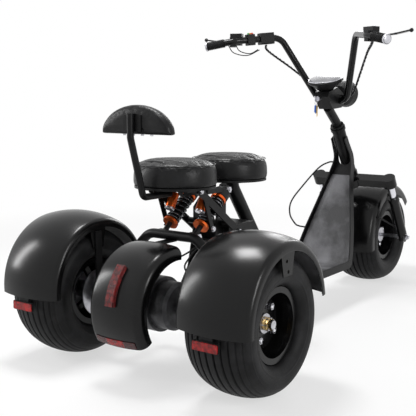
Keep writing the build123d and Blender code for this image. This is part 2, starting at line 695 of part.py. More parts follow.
def foot_mat():
    """The rubber mat on the board, from below the neck to the rear edge."""
    gap = BOARD_T / 2 + SEAT_CLEAR + MAT_T / 2
    mat = board_sheet(gap, MAT_T, BOARD_HALF[-1][1]) & board_outline(MAT_INSET)
    mat &= Pos(0, 1000, 50) * Box(400, 720, 970)
    mat -= steer_rod(0, 0, HEAD_LOW - 60, HEAD_HIGH + 90, HEAD_R + 16)
    mat -= seat_tube_solid(0.6)
    return max(mat.solids(), key=lambda solid: solid.volume)


SEAT_TUBE_R = 25.0
SEAT_TUBE_PATH = ((0, 426, 583), (0, 432, 560), (0, 742, 150))


def seat_tube_solid(extra=0.0):
    """The bent tube from the floor up to the front seat, grown by a small fit."""
    return tube_along(SEAT_TUBE_PATH, (45,), SEAT_TUBE_R + extra)


def floor_bar(fit):
    """The floor tube as a plain bar, grown by a fit, to cut its seats."""
    middle = (SPINE_END_Y + DOWN_CORNER[0]) / 2
    return Pos(0, middle, DOWN_CORNER[1]) * Rot(90, 0, 0) * Cylinder(SPINE_R + fit, 1100)


def seat_tube():
    """The bent tube with its seat plate and the foot plate on the floor tube."""
    tube = seat_tube_solid()
    tube += Pos(0, 425, SEAT_BASE_Z - PAN_T - SEAT_CLEAR - 3) * Box(150, 120, 6)
    return tube - floor_bar(SEAT_CLEAR)


def battery_box():
    """The closed battery box on the floor tube, with its lid as a step."""
    outline = ((312, 148), (566, 148), (566, 300), (500, 392), (312, 392))
    lid = ((306, 392), (506, 392), (468, 440), (306, 440))
    box = side_plate(outline, 0, 134) + side_plate(lid, 0, 142)
    return box - floor_bar(SEAT_CLEAR) - seat_tube_solid(3)


PLATE_OUTLINE = ((285, 588), (302, 592), (318, 592), (318, 462), (302, 446), (302, 112), (236, 112), (180, 190),
                 (180, 236), (228, 300), (262, 440), (262, 505), (300, 538), (277, 570))
STRUT_TIE = (290.0, 451.0)


def rear_plates():
    """The two side plates of the rear frame with the tubes that tie them."""
    frame = side_plate(PLATE_OUTLINE, -PLATE_X, PLATE_T) + side_plate(PLATE_OUTLINE, PLATE_X, PLATE_T)
    inner = PLATE_X - PLATE_T / 2 + 1
    for y, z in ((280, 380), (276, 262)):
        frame += Pos(0, y, z) * x_disc(-inner, inner, 13)
    reach = STRUT_X - STRUT_T / 2 - SEAT_CLEAR
    frame += Pos(0, *STRUT_TIE) * x_disc(-reach, reach, 11)
    cross = Pos(0, SPINE_END_Y + 34, DOWN_CORNER[1]) * Box(2 * inner, 50, 44)
    frame += cross - floor_bar(SEAT_CLEAR)
    frame -= Pos(0, *PIVOT) * x_disc(-100, 100, PIVOT_R + RUN_CLEAR)
    frame -= Pos(0, *SHOCK_TOP) * x_disc(-100, 100, PIN_R + RUN_CLEAR)
    return max(frame.solids(), key=lambda solid: solid.volume)


STRUT_X = 95.0
STRUT_T = 6.0
STRUT_W = 26.0
RACK_X = 61.0
RACK_HOLE_Y = (60.0, 165.0)
RACK_HOLE_Z = 578.5
RACK_HOLE_R = 4.5


def seat_struts():
    """Under the rear seat: the hole brackets, both diagonals and the two short legs."""
    base = SEAT_BASE_Z - PAN_T - SEAT_CLEAR
    frame = Pos(0, 112, base - 3) * Box(2 * STRUT_X + STRUT_T, 156, 6)
    for side in (-1, 1):
        bracket = side_plate(((34, base - 4), (192, base - 4), (192, 576), (180, 572), (150, 571), (60, 566),
                              (38, 576)), side * RACK_X, 4)
        for y in RACK_HOLE_Y:
            bracket -= Pos(side * RACK_X, y, RACK_HOLE_Z) * x_disc(-4, 4, RACK_HOLE_R)
        frame += bracket
        x = side * STRUT_X
        frame += flat_between((x, 96, base - 3), (x, 338, 416), STRUT_W, STRUT_T)
        frame += flat_between((x, 120, base - 3), (x, 172, 452), 18, STRUT_T)
        frame += Pos(x, 172, 452) * x_disc(-STRUT_T / 2, STRUT_T / 2, 11)
        frame += Pos(x + side * 4, 328, 423) * x_disc(-4, 4, 9)
    return frame - Pos(0, 200, base + 30) * Box(400, 500, 60)


keep("main_frame", main_frame())
keep("footboard", footboard())
keep("foot_mat", foot_mat())
keep("seat_tube", seat_tube())
keep("battery_box", battery_box())
keep("rear_plates", rear_plates())
keep("seat_struts", seat_struts())


# Shock bolts
def shock_bolts():
    """The long upper pin through both plates and a short pin in each lower eye."""
    outer = SHOCK_X + EYE_W / 2 + RUN_CLEAR
    pin = x_disc(-outer - 12, outer + 12, PIN_R)
    for side in (-1, 1):
        ends = sorted((side * outer, side * (outer + 9)))
        pin += x_hex(ends[0], ends[1], 19)
    bolts = [Pos(0, *SHOCK_TOP) * pin]
    reach = EAR_SPREAD + EAR_T / 2 + RUN_CLEAR
    for side in (-1, 1):
        low = x_disc(-reach - 10, reach + 10, PIN_R)
        for end in (-1, 1):
            ends = sorted((end * reach, end * (reach + 7)))
            low += x_hex(ends[0], ends[1], 19)
        bolts.append(Pos(side * SHOCK_X, *SHOCK_EYE) * low)
    return Compound(children=bolts)


keep("shock_bolts", shock_bolts())


# Seats, backrest and their pans
def cushion(y):
    """A seat cushion: rounded sides that lean in and a softly domed top."""
    base = Pos(0, y, SEAT_BASE_Z + SEAT_CLEAR)
    low = Ellipse(SEAT_HALF_W * 0.97, SEAT_HALF_L * 0.97)
    mid = Pos(0, 0, SEAT_H * 0.45) * Ellipse(SEAT_HALF_W, SEAT_HALF_L)
    shoulder = Pos(0, 0, SEAT_H * 0.86) * Ellipse(SEAT_HALF_W * 0.92, SEAT_HALF_L * 0.92)
    top = Pos(0, 0, SEAT_H) * Ellipse(SEAT_HALF_W * 0.70, SEAT_HALF_L * 0.70)
    body = loft([low, mid], ruled=True) + loft([mid, shoulder], ruled=True) + loft([shoulder, top], ruled=True)
    return base * body


def seat_pan(y):
    """The plate under a cushion."""
    return Pos(0, y, SEAT_BASE_Z - PAN_T) * extrude(Ellipse(SEAT_HALF_W - 6, SEAT_HALF_L - 6), PAN_T)


keep("seat_pans", Compound(children=[seat_pan(REAR_SEAT_Y), seat_pan(FRONT_SEAT_Y)]))
keep("rear_seat_cushion", cushion(REAR_SEAT_Y))
keep("front_seat_cushion", cushion(FRONT_SEAT_Y))


def backrest_pad():
    """The half-round pad: flat below, arched above, with a rounded front and back."""
    half, high = BACK_PAD_HALF, BACK_PAD_H
    layers = []
    for depth, inset in ((0, 12), (10, 0), (BACK_PAD_T - 12, 0), (BACK_PAD_T, 12)):
        arc = ThreePointArc((-half + inset, inset), (0, high - inset), (half - inset, inset))
        face = make_face(Curve() + [arc, Line((half - inset, inset), (-half + inset, inset))])
        plane = Plane(origin=(0, BACK_PAD_Y + BACK_PAD_T / 2 - depth, BACK_PAD_Z), x_dir=(1, 0, 0), z_dir=(0, -1, 0))
        layers.append(plane * face)
    pad = loft(layers[:2], ruled=True) + loft(layers[1:3], ruled=True) + loft(layers[2:], ruled=True)
    return pad


def backrest_post():
    """The bent tube from under the rear seat up behind the pad, with its plate."""
    back = BACK_PAD_Y - BACK_PAD_T / 2 - BACK_POST_R - SEAT_CLEAR
    low = SEAT_BASE_Z - PAN_T - 6 - SEAT_CLEAR - BACK_POST_R - SEAT_CLEAR
    post = tube_along([(0, back, 836), (0, back, 762), (0, -66, low + 4), (0, -52, low), (0, 70, low)],
                      (40, 20, 10), BACK_POST_R)
    post += Pos(0, back + BACK_POST_R - 2, 806) * Box(70, 4, 50)
    return post


keep("backrest_pad", backrest_pad())
keep("backrest_post", backrest_post())

# Fork, yoke and front mudguard
FORK_SIDES = (-1, 1)


def steering_stem():
    """The stem inside the head tube, bent back above it, with the clamp that holds the bar."""
    bottom = steer_yz(0, YOKE_LOW - 6)
    bend = steer_yz(0, HEAD_HIGH + 24)
    stem = tube_along([(0, *bottom), (0, *bend), (0, *STEM_TOP)], (50,), STEM_R)
    stem += steer_rod(0, 0, HEAD_HIGH + RUN_CLEAR, HEAD_HIGH + 12, HEAD_R)
    block = side_plate(((1150, 832), (1232, 838), (1252, 852), (1258, 880), (1246, 899), (1190, 925.5),
                        (1112, 904.6), (1100, 884)), 0, 2 * CLAMP_HALF)
    stem += block
    return stem - Pos(0, 1212, 868) * x_disc(-60, 60, BAR_R + SEAT_CLEAR)


def yoke():
    """The wide fork yoke: a bar between two round bosses, clamped on the stem."""
    plate = steer_plane(0, 0, YOKE_LOW)
    outline = Rectangle(2 * FORK_HALF, 2 * YOKE_BOSS_R - 14)
    body = extrude(plate * (Pos(0, FORK_AHEAD * 0.6) * outline), YOKE_T)
    for side in FORK_SIDES:
        body += steer_rod(side * FORK_HALF, FORK_AHEAD, YOKE_LOW - 8, YOKE_LOW + YOKE_T, YOKE_BOSS_R)
    body += steer_rod(0, 0, YOKE_LOW, YOKE_LOW + YOKE_T, YOKE_BOSS_R + 8)
    for side in FORK_SIDES:
        body -= steer_rod(side * FORK_HALF, FORK_AHEAD, YOKE_LOW - 60, YOKE_LOW + YOKE_T - 8, FORK_TUBE_R + SEAT_CLEAR)
    return body - steer_rod(0, 0, YOKE_LOW - 60, YOKE_LOW + 90, STEM_R + SEAT_CLEAR)


def fork_tubes():
    """The two bright fork tubes between the yoke and the sliders."""
    top = YOKE_LOW + YOKE_T - 8 - SEAT_CLEAR
    pieces = [steer_rod(side * FORK_HALF, FORK_AHEAD, 130, top, FORK_TUBE_R) for side in FORK_SIDES]
    return Compound(children=pieces)


def fork_sliders():
    """The two black sliders with an axle lug at the foot and a stay lug above it."""
    pieces = []
    for side in FORK_SIDES:
        slider = steer_rod(side * FORK_HALF, FORK_AHEAD, 8, SLIDER_TOP, SLIDER_R)
        slider += steer_rod(side * FORK_HALF, FORK_AHEAD, SLIDER_TOP - 16, SLIDER_TOP + 4, SLIDER_R + 4)
        slider -= steer_rod(side * FORK_HALF, FORK_AHEAD, 120, SLIDER_TOP + 20, FORK_TUBE_R + SEAT_CLEAR)
        lug = Pos(side * FORK_HALF, WHEELBASE, AXLE_Z) * x_disc(-FORK_LUG_T / 2, FORK_LUG_T / 2, 24)
        slider += lug
        for nut_side in (-1, 1):
            near = FORK_LUG_T / 2
            ends = sorted((nut_side * near, nut_side * (near + 14)))
            slider -= Pos(side * FORK_HALF, WHEELBASE, AXLE_Z) * x_disc(ends[0], ends[1], 26)
        slider -= Pos(0, WHEELBASE, AXLE_Z) * x_disc(-240, 240, AXLE_R + SEAT_CLEAR)
        pieces.append(max(slider.solids(), key=lambda solid: solid.volume))
    return Compound(children=pieces)


def front_guard():
    """The front mudguard, arched closely over the wheel, with deep rounded flanks."""
    shell = shell_arc(FRONT_GUARD_R, FRONT_GUARD_HALF, 20, 26, FRONT_GUARD_LOW, GUARD_WALL, *FRONT_GUARD_DEG)
    return wheel_place(shell, 0, WHEELBASE, AXLE_Z)


def guard_stays():
    """The thin V-shaped stays from the sliders' inner side to the mudguard's flanks."""
    pieces = []
    for side in FORK_SIDES:
        x = side * (FRONT_GUARD_HALF + STAY_KNOB_R + SEAT_CLEAR)
        root_y, root_z = steer_yz(FORK_AHEAD, 60)
        root = (side * (FORK_HALF - SLIDER_R - STAY_KNOB_R - SEAT_CLEAR), root_y, root_z)
        stay = Pos(*root) * Sphere(STAY_KNOB_R)
        for degrees in (104, 148):
            turn = math.radians(degrees)
            r = FRONT_GUARD_LOW + 12
            foot = (x, WHEELBASE + r * math.cos(turn), AXLE_Z + r * math.sin(turn))
            stay += bar_between(root, foot, STAY_R) + Pos(*foot) * Sphere(STAY_KNOB_R)
        pieces.append(stay)
    return Compound(children=pieces)


keep("steering_stem", steering_stem())
keep("yoke", yoke())
keep("fork_tubes", fork_tubes())
keep("fork_sliders", fork_sliders())
keep("front_guard", front_guard())
keep("guard_stays", guard_stays())


# Handlebar and controls
def mirrored_path(points):
    """The left half of a symmetric path followed by its right half."""
    left = [(-x, y, z) for x, y, z in reversed(points[1:])]
    return left + list(points[1:])


def handlebar(fit=0.0):
    """The wide high handlebar in one bent tube, grown by a fit where it cuts its seats."""
    points = mirrored_path(BAR_PATH)
    bends = list(reversed(BAR_BENDS)) + list(BAR_BENDS)
    return tube_along(points, bends, BAR_R + fit)


GRIP_END = Vector(*BAR_PATH[4])
GRIP_DIR = (Vector(*BAR_PATH[4]) - Vector(*BAR_PATH[3])).normalized()


def grip_plane(back):
    """A plane across the right grip's axis at a distance back from its end."""
    return Plane(origin=GRIP_END - GRIP_DIR * back, z_dir=GRIP_DIR)


def grip():
    """The right rubber grip with its slotted end plug."""
    body = extrude(grip_plane(GRIP_LEN - 34) * (Circle(GRIP_R) - Circle(BAR_R + SEAT_CLEAR)), GRIP_LEN - 34)
    plug = extrude(grip_plane(-SEAT_CLEAR) * Circle(GRIP_R + 1.5), 9)
    return Compound(children=[body, plug])


LEVER_ROOT = (325.0, 925.0, 1112.0)
LEVER_BEND = (396.0, 930.0, 1118.0)
LEVER_TIP = (465.0, 915.0, 1128.0)


def brake_lever():
    """The right brake lever's blade with its pivot block and fluid reservoir."""
    lever = flat_between(LEVER_ROOT, LEVER_BEND, 14, 6, (0, 0, 1))
    lever += flat_between(LEVER_BEND, LEVER_TIP, 14, 6, (0, 0, 1))
    lever += Pos(*LEVER_BEND) * Cylinder(7, 6)
    lever += Pos(*LEVER_TIP) * Sphere(8)
    return lever


def master():
    """The right master cylinder: clamp on the bar, body towards the lever and reservoir."""
    clamp = Pos(313, 897, 1112) * Rot(0, 0, -29) * Box(24, 44, 40)
    clamp += Pos(314, 925, 1113) * Rot(0, 0, -10) * Box(44, 26, 26)
    cup = Pos(306, 915, 1136) * Rot(0, 0, -20) * Box(50, 36, 24)
    body = clamp + cup
    body -= handlebar(SEAT_CLEAR)
    return max(body.solids(), key=lambda solid: solid.volume)


master_right = master()
lever_right = brake_lever() - master_right
keep("handlebar", handlebar())
keep("grips", both_sides(grip()))
keep("master_cylinders", both_sides(master_right))
keep("brake_levers", both_sides(max(lever_right.solids(), key=lambda solid: solid.volume)))


def switch_pod(along, size):
    """A pod clamped on the bar's sloping run at a fraction of its length, on the left."""
    start, end = Vector(*BAR_PATH[2]), Vector(*BAR_PATH[3])
    centre = start + (end - start) * along
    plane = Plane(origin=centre, x_dir=Vector(0, 0, 1), z_dir=end - start)
    block = extrude(plane * Rectangle(size[1], size[2]), size[0] / 2, both=True)
    block = fillet(block.edges().filter_by(lambda edge: abs(edge.length - size[0]) < 0.01), 6)
    block -= bar_between(start, end, BAR_R + SEAT_CLEAR)
    return mirror(block, about=Plane.YZ)


keep("switch_pods", Compound(children=[switch_pod(0.66, (32, 46, 40)), switch_pod(0.32, (60, 48, 44))]))


# Lamp, gauge, key
def gauge():
    """The round gauge: a shallow domed top on a tapering body, tilted to the rider."""
    face = make_face(Polyline((0, -36), (30, -36), (58, -12), (GAUGE_R, -2), (GAUGE_R, 8),
                              (GAUGE_R - 14, 16), (36, 23), (0, 25), close=True))
    body = revolve(Plane.XZ * face, Axis.Z, 360)
    return Pos(0, *GAUGE_C) * Rot(GAUGE_TILT, 0, 0) * body


def headlamp():
    """The headlamp's bowl ahead of the clamp block."""
    profile = Polyline((0, 0), (34, 0), (50, 14), (LAMP_R - 4, 34), (LAMP_R, LAMP_LEN), (LAMP_R - 5, LAMP_LEN),
                       (LAMP_R - 10, LAMP_LEN - 12), (0, LAMP_LEN - 12), close=True)
    bowl = revolve(Plane.XZ * make_face(profile), Axis.Z, 360)
    return Pos(0, *LAMP_C) * Rot(-90, 0, 0) * bowl


def headlamp_lens():
    """The clear lens set inside the bowl's mouth."""
    profile = Polyline((0, LAMP_LEN - 11.7), (LAMP_R - 10.5, LAMP_LEN - 11.7), (LAMP_R - 6, LAMP_LEN - 1),
                       (LAMP_R - 20, LAMP_LEN + 5), (0, LAMP_LEN + 8), close=True)
    lens = revolve(Plane.XZ * make_face(profile), Axis.Z, 360)
    return Pos(0, *LAMP_C) * Rot(-90, 0, 0) * lens


def lamp_bracket():
    """The neck between the clamp block and the lamp's back."""
    return Pos(0, (1258.3 + LAMP_C[0] - 0.3) / 2, 872) * Box(40, LAMP_C[0] - 0.3 - 1258.3, 20)


def ignition_key():
    """The key in the block's rear face with its ring and a hanging bunch."""
    barrel = Pos(-12, 1098, 876) * Rot(90, 0, 0) * Cylinder(11, 16)
    bow = Pos(-12, 1080, 876) * Box(4, 22, 22)
    return barrel + bow


gauge_body = gauge()
keep("gauge", gauge_body)
keep("headlamp", headlamp() + lamp_bracket())
keep("headlamp_lens", headlamp_lens())
block_cut = NODES["steering_stem"]
key_body = ignition_key() - block_cut - gauge_body
keep("ignition_key", max(key_body.solids(), key=lambda solid: solid.volume))


# Cables
CABLE_R = 3.5


def bar_cables():
    """The wrapped cables that run beside the bar from the controls to the lamp's back."""
    left = tube_along([(-216, 1004, 1105), (-216, 1004, 1080), (-104, 1236, 930), (-62, 1236, 893),
                       (-CLAMP_HALF - SEAT_CLEAR, 1236, 893)], (18, 14, 12), 5)
    right = tube_along([(308, 926, 1099.6), (308, 926, 1084), (262, 990, 1068), (92, 1224, 900), (64, 1238, 888),
                        (CLAMP_HALF + SEAT_CLEAR, 1238, 888)], (8, 18, 14, 12), 5)
    return Compound(children=[left, right])


def neck_cable():
    """The thin hose that leaves the neck, bows out on the left and enters the floor."""
    return tube_along([(-47.4, 1330, 590), (-104, 1330, 584), (-205, 1180, 400), (-170, 1190, 306),
                       (-116.0, 1200, 300)], (50, 60, 24), CABLE_R)


keep("bar_cables", bar_cables())
keep("neck_cable", neck_cable())

# Place the finished trike so that Y = 0 lies midway along it
box_all = Compound(children=[copy.copy(shape) for shape in NODES.values()]).bounding_box()
middle_y = (box_all.min.Y + box_all.max.Y) / 2
print("length", box_all.size.Y, "width", box_all.size.X, "height", box_all.size.Z, "shift", -middle_y)
for name, shape in NODES.items():
    export_step(Pos(0, -middle_y, -box_all.min.Z) * shape, f"parts/{name}.step")
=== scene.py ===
# %% [markdown]
# # Dressing an electric golf trike
# The frame is the trike's exact solids, already in place and in metres. This lesson
# gives them their looks: soft black mudguards, grooved tyres, quilted seats, coil
# springs and small hardware. Every new shape is a numpy surface.

# %% Load the frame
import math

import bmesh
import bpy
import numpy as np
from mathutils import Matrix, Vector


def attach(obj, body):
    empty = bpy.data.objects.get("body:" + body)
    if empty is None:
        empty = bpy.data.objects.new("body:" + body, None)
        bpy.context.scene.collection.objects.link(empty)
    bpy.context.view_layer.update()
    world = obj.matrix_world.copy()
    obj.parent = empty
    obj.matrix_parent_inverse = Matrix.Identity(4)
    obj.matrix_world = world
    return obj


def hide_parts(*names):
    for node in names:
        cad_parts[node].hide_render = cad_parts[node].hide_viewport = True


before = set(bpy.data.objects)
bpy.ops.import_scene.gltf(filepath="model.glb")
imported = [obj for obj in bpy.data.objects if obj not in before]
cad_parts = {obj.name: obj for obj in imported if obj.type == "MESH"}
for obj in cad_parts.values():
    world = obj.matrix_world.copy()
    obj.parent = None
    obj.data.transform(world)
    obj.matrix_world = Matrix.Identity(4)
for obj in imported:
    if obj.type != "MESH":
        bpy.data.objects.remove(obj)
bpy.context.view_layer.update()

# %% [markdown]
# The solids were drawn in millimetres with the rear axle at Y = 0, then moved back by
# 800.5 mm to centre the trike. One small function keeps the drawing's own numbers
# readable here.

# %% Places taken from the drawing
SHIFT_Y = 800.5
AXLE_Z = 224.0
FRONT_Y = 1625.0
WHEEL_X = 363.0
MM = 1000.0


def place(points):
    """Metres from drawing millimetres: take 800.5 from Y, then divide by 1000."""
    return (np.asarray(points, float) - (0.0, SHIFT_Y, 0.0)) / MM


# %% [markdown]
# The camera stands behind the right rear wheel at the photograph's viewing angle. Soft
# area lamps make the long highlights on the black guards. The background is white
# through Light Path, so it puts no extra light on the trike.

# %% Camera, lamps and background
scene = bpy.context.scene
scene.view_settings.view_transform = "Standard"

LENS_MM = 68.81
LOOK_DOWN, LOOK_LEFT = 8.038, 35.746

camera_data = bpy.data.cameras.new("camera")
camera_data.lens = LENS_MM
camera_data.sensor_width = 36.0
camera = bpy.data.objects.new("camera", camera_data)
camera.location = (1.6015, -2.7446, 0.8889)
camera.rotation_euler = (math.radians(90 - LOOK_DOWN), 0.0, math.radians(LOOK_LEFT))
scene.collection.objects.link(camera)
scene.camera = camera


def area_lamp(name, location, target, width, height, watts):
    """A soft lamp at a point, turned so that its -Z looks at the target."""
    data = bpy.data.lights.new(name, "AREA")
    data.shape = "RECTANGLE"
    data.size, data.size_y = width, height
    data.energy = watts
    lamp = bpy.data.objects.new(name, data)
    lamp.location = location
    lamp.rotation_euler = (Vector(target) - Vector(location)).to_track_quat("-Z", "Y").to_euler()
    scene.collection.objects.link(lamp)


area_lamp("overhead", (-0.5, -0.5, 3.1), (0, -0.2, 0.4), 0.8, 0.8, 66)
area_lamp("tall_left", (-2.7, -2.0, 1.5), (-0.2, -0.7, 0.5), 0.3, 1.6, 42)
area_lamp("tall_right", (3.0, -1.2, 1.5), (0.2, -0.5, 0.5), 0.26, 1.6, 36)
area_lamp("front_fill", (-0.8, 2.9, 2.0), (0, 0.4, 0.5), 1.4, 1.4, 34)


def seen_directly(nodes, links):
    """1 for camera, mirror and glass rays and 0 for the rays that light things."""
    path = nodes.new("ShaderNodeLightPath")
    first = nodes.new("ShaderNodeMath")
    first.operation = "MAXIMUM"
    links.new(path.outputs["Is Camera Ray"], first.inputs[0])
    links.new(path.outputs["Is Glossy Ray"], first.inputs[1])
    second = nodes.new("ShaderNodeMath")
    second.operation = "MAXIMUM"
    links.new(first.outputs[0], second.inputs[0])
    links.new(path.outputs["Is Transmission Ray"], second.inputs[1])
    return second.outputs[0]


WORLD_LIGHT = 0.28

world = bpy.data.worlds.new("studio")
world.use_nodes = True
scene.world = world
wn, wl = world.node_tree.nodes, world.node_tree.links
wn.clear()
lit = wn.new("ShaderNodeBackground")
lit.inputs["Strength"].default_value = WORLD_LIGHT
shown = wn.new("ShaderNodeBackground")
shown.inputs["Strength"].default_value = 1.0
for background in (lit, shown):
    background.inputs["Color"].default_value = (1, 1, 1, 1)
world_mix = wn.new("ShaderNodeMixShader")
world_out = wn.new("ShaderNodeOutputWorld")
wl.new(seen_directly(wn, wl), world_mix.inputs[0])
wl.new(lit.outputs[0], world_mix.inputs[1])
wl.new(shown.outputs[0], world_mix.inputs[2])
wl.new(world_mix.outputs[0], world_out.inputs["Surface"])

# %% [markdown]
# The floor is matt near the trike, where it keeps the shadow. Its own glow grows with
# the distance from the middle, so it runs into the white background without an edge.

# %% Pale floor
FLOOR_HALF = 60.0
FADE_NEAR, FADE_FAR = 1.2, 3.6

floor_mesh = bpy.data.meshes.new("floor")
floor_corners = [(x * FLOOR_HALF, y * FLOOR_HALF, 0) for x, y in ((-1, -1), (1, -1), (1, 1), (-1, 1))]
floor_mesh.from_pydata(floor_corners, [], [(0, 1, 2, 3)])
floor = bpy.data.objects.new("floor", floor_mesh)
scene.collection.objects.link(floor)
floor_finish = bpy.data.materials.new("pale_floor")
floor_finish.use_nodes = True
fn, fl = floor_finish.node_tree.nodes, floor_finish.node_tree.links
fn.clear()
floor_matt = fn.new("ShaderNodeBsdfDiffuse")
floor_matt.inputs["Color"].default_value = (0.88, 0.88, 0.88, 1)
floor_glow = fn.new("ShaderNodeEmission")
floor_glow.inputs["Strength"].default_value = 1.0
floor_mix = fn.new("ShaderNodeMixShader")
floor_share = fn.new("ShaderNodeMath")
floor_share.operation = "MULTIPLY"
floor_coord = fn.new("ShaderNodeTexCoord")
floor_far = fn.new("ShaderNodeVectorMath")
floor_far.operation = "LENGTH"
floor_fade = fn.new("ShaderNodeMapRange")
floor_fade.interpolation_type = "SMOOTHSTEP"
fade_values = {"From Min": FADE_NEAR, "From Max": FADE_FAR, "To Min": 0.62, "To Max": 1.0}
for socket_name, value in fade_values.items():
    floor_fade.inputs[socket_name].default_value = value
floor_out = fn.new("ShaderNodeOutputMaterial")
fl.new(floor_coord.outputs["Object"], floor_far.inputs[0])
fl.new(floor_far.outputs["Value"], floor_fade.inputs["Value"])
fl.new(floor_fade.outputs["Result"], floor_share.inputs[1])
fl.new(seen_directly(fn, fl), floor_share.inputs[0])
fl.new(floor_share.outputs[0], floor_mix.inputs[0])
fl.new(floor_matt.outputs[0], floor_mix.inputs[1])
fl.new(floor_glow.outputs[0], floor_mix.inputs[2])
fl.new(floor_mix.outputs[0], floor_out.inputs["Surface"])
floor.data.materials.append(floor_finish)

# %% [markdown]
# Real paint, rubber and plastic are never perfectly even. One node group mixes two
# close colours, varies the roughness and lifts a fine grain, all from noise on Object
# coordinates. Each material places it with its own values.

# %% The shared grain group
grain_group = bpy.data.node_groups.new("grain", "ShaderNodeTree")
GRAIN_INPUTS = (("Scale", "Float", 90.0), ("Fine scale", "Float", 900.0), ("Lift", "Float", 0.1),
                ("Base", "Color", (0, 0, 0, 1)), ("Worn", "Color", (0.1, 0.1, 0.1, 1)),
                ("Rough low", "Float", 0.3), ("Rough high", "Float", 0.5))
for socket_name, kind, value in GRAIN_INPUTS:
    socket = grain_group.interface.new_socket(socket_name, in_out="INPUT", socket_type="NodeSocket" + kind)
    socket.default_value = value
for socket_name, kind in (("Color", "Color"), ("Roughness", "Float"), ("Normal", "Vector")):
    grain_group.interface.new_socket(socket_name, in_out="OUTPUT", socket_type="NodeSocket" + kind)
gn, gl = grain_group.nodes, grain_group.links
g_in, g_out = gn.new("NodeGroupInput"), gn.new("NodeGroupOutput")
g_coord = gn.new("ShaderNodeTexCoord")
g_broad, g_fine = gn.new("ShaderNodeTexNoise"), gn.new("ShaderNodeTexNoise")
g_broad.inputs["Detail"].default_value = 6.0
g_ramp = gn.new("ShaderNodeMapRange")
g_ramp.inputs["From Min"].default_value = 0.42
g_ramp.inputs["From Max"].default_value = 0.68
g_mix = gn.new("ShaderNodeMix")
g_mix.data_type = "RGBA"
g_rough = gn.new("ShaderNodeMapRange")
g_bump = gn.new("ShaderNodeBump")
g_bump.inputs["Distance"].default_value = 0.0006
gl.new(g_coord.outputs["Object"], g_broad.inputs["Vector"])
gl.new(g_coord.outputs["Object"], g_fine.inputs["Vector"])
gl.new(g_in.outputs["Scale"], g_broad.inputs["Scale"])
gl.new(g_in.outputs["Fine scale"], g_fine.inputs["Scale"])
gl.new(g_broad.outputs["Fac"], g_ramp.inputs["Value"])
gl.new(g_ramp.outputs["Result"], g_mix.inputs["Factor"])
gl.new(g_in.outputs["Base"], g_mix.inputs[6])
gl.new(g_in.outputs["Worn"], g_mix.inputs[7])
gl.new(g_mix.outputs[2], g_out.inputs["Color"])
gl.new(g_broad.outputs["Fac"], g_rough.inputs["Value"])
gl.new(g_in.outputs["Rough low"], g_rough.inputs["To Min"])
gl.new(g_in.outputs["Rough high"], g_rough.inputs["To Max"])
gl.new(g_rough.outputs["Result"], g_out.inputs["Roughness"])
gl.new(g_fine.outputs["Fac"], g_bump.inputs["Height"])
gl.new(g_in.outputs["Lift"], g_bump.inputs["Strength"])
gl.new(g_bump.outputs["Normal"], g_out.inputs["Normal"])

# %% [markdown]
# A finish is a Principled shader fed by that group. Constants such as metalness or coat
# stay on the shader's own sockets.

# %% Plain finishes


def finish(name, base, worn, rough, lift=0.1, scale=14.0, fine=900.0, **constants):
    """A material: grain colours and roughness, plus constants set on the shader."""
    material = bpy.data.materials.new(name)
    material.use_nodes = True
    nodes, links = material.node_tree.nodes, material.node_tree.links
    shader = nodes["Principled BSDF"]
    group = nodes.new("ShaderNodeGroup")
    group.node_tree = grain_group
    values = {"Scale": scale, "Base": (*base, 1), "Worn": (*worn, 1), "Rough low": rough[0],
              "Rough high": rough[1], "Lift": lift, "Fine scale": fine}
    for socket_name, value in values.items():
        group.inputs[socket_name].default_value = value
    links.new(group.outputs["Color"], shader.inputs["Base Color"])
    links.new(group.outputs["Roughness"], shader.inputs["Roughness"])
    links.new(group.outputs["Normal"], shader.inputs["Normal"])
    for socket_name, value in constants.items():
        shader.inputs[socket_name.replace("_", " ")].default_value = value
    return material


def grey(value):
    """The same value for red, green and blue, with the faintest lean to blue."""
    return (value, value, value * 1.06)


tyre_rubber = finish("tyre_rubber", grey(0.006), grey(0.016), (0.42, 0.62), 0.35, 26, 1400,
                     Specular_IOR_Level=0.15)
guard_black = finish("guard_black", grey(0.002), grey(0.004), (0.21, 0.28), 0.04, 5, 1800,
                     Specular_IOR_Level=0.24)
black_steel = finish("black_steel", grey(0.004), grey(0.010), (0.3, 0.44), 0.2, 18, 1600,
                     Specular_IOR_Level=0.16)
gloss_black = finish("gloss_black", grey(0.003), grey(0.006), (0.12, 0.22), 0.03, 12, 1500,
                     Specular_IOR_Level=0.24)
plastic = finish("moulded_plastic", grey(0.005), grey(0.012), (0.36, 0.52), 0.3, 25, 2200,
                 Specular_IOR_Level=0.17)
liner_grey = finish("guard_liner", grey(0.03), grey(0.11), (0.45, 0.6), 0.3, 12, 900, Specular_IOR_Level=0.3)
zinc = finish("zinc_plate", grey(0.50), grey(0.66), (0.22, 0.4), 0.1, 60, 1500, Metallic=1.0)
chrome = finish("chrome", grey(0.72), grey(0.80), (0.05, 0.14), 0.02, 30, 1500, Metallic=1.0)
brass = finish("brass", (0.62, 0.42, 0.16), (0.76, 0.56, 0.26), (0.2, 0.36), 0.1, 60, 1500, Metallic=1.0)
orange = finish("orange_anodised", (0.72, 0.10, 0.012), (0.85, 0.17, 0.03), (0.24, 0.38), 0.08, 40, 1500,
                Metallic=0.75)
cast_dark = finish("cast_dark", grey(0.05), grey(0.10), (0.42, 0.62), 0.5, 30, 700, Metallic=0.7)
spring_black = finish("spring_black", grey(0.05), grey(0.14), (0.14, 0.24), 0.05, 60, 1500, Metallic=0.9)
gauge_grey = finish("gauge_grey", grey(0.15), grey(0.22), (0.16, 0.3), 0.05, 20, 1500, Coat_Weight=0.5)
button_red = finish("button_red", (0.5, 0.02, 0.015), (0.6, 0.04, 0.03), (0.3, 0.4), 0.05)
button_green = finish("button_green", (0.02, 0.28, 0.06), (0.03, 0.36, 0.09), (0.3, 0.4), 0.05)
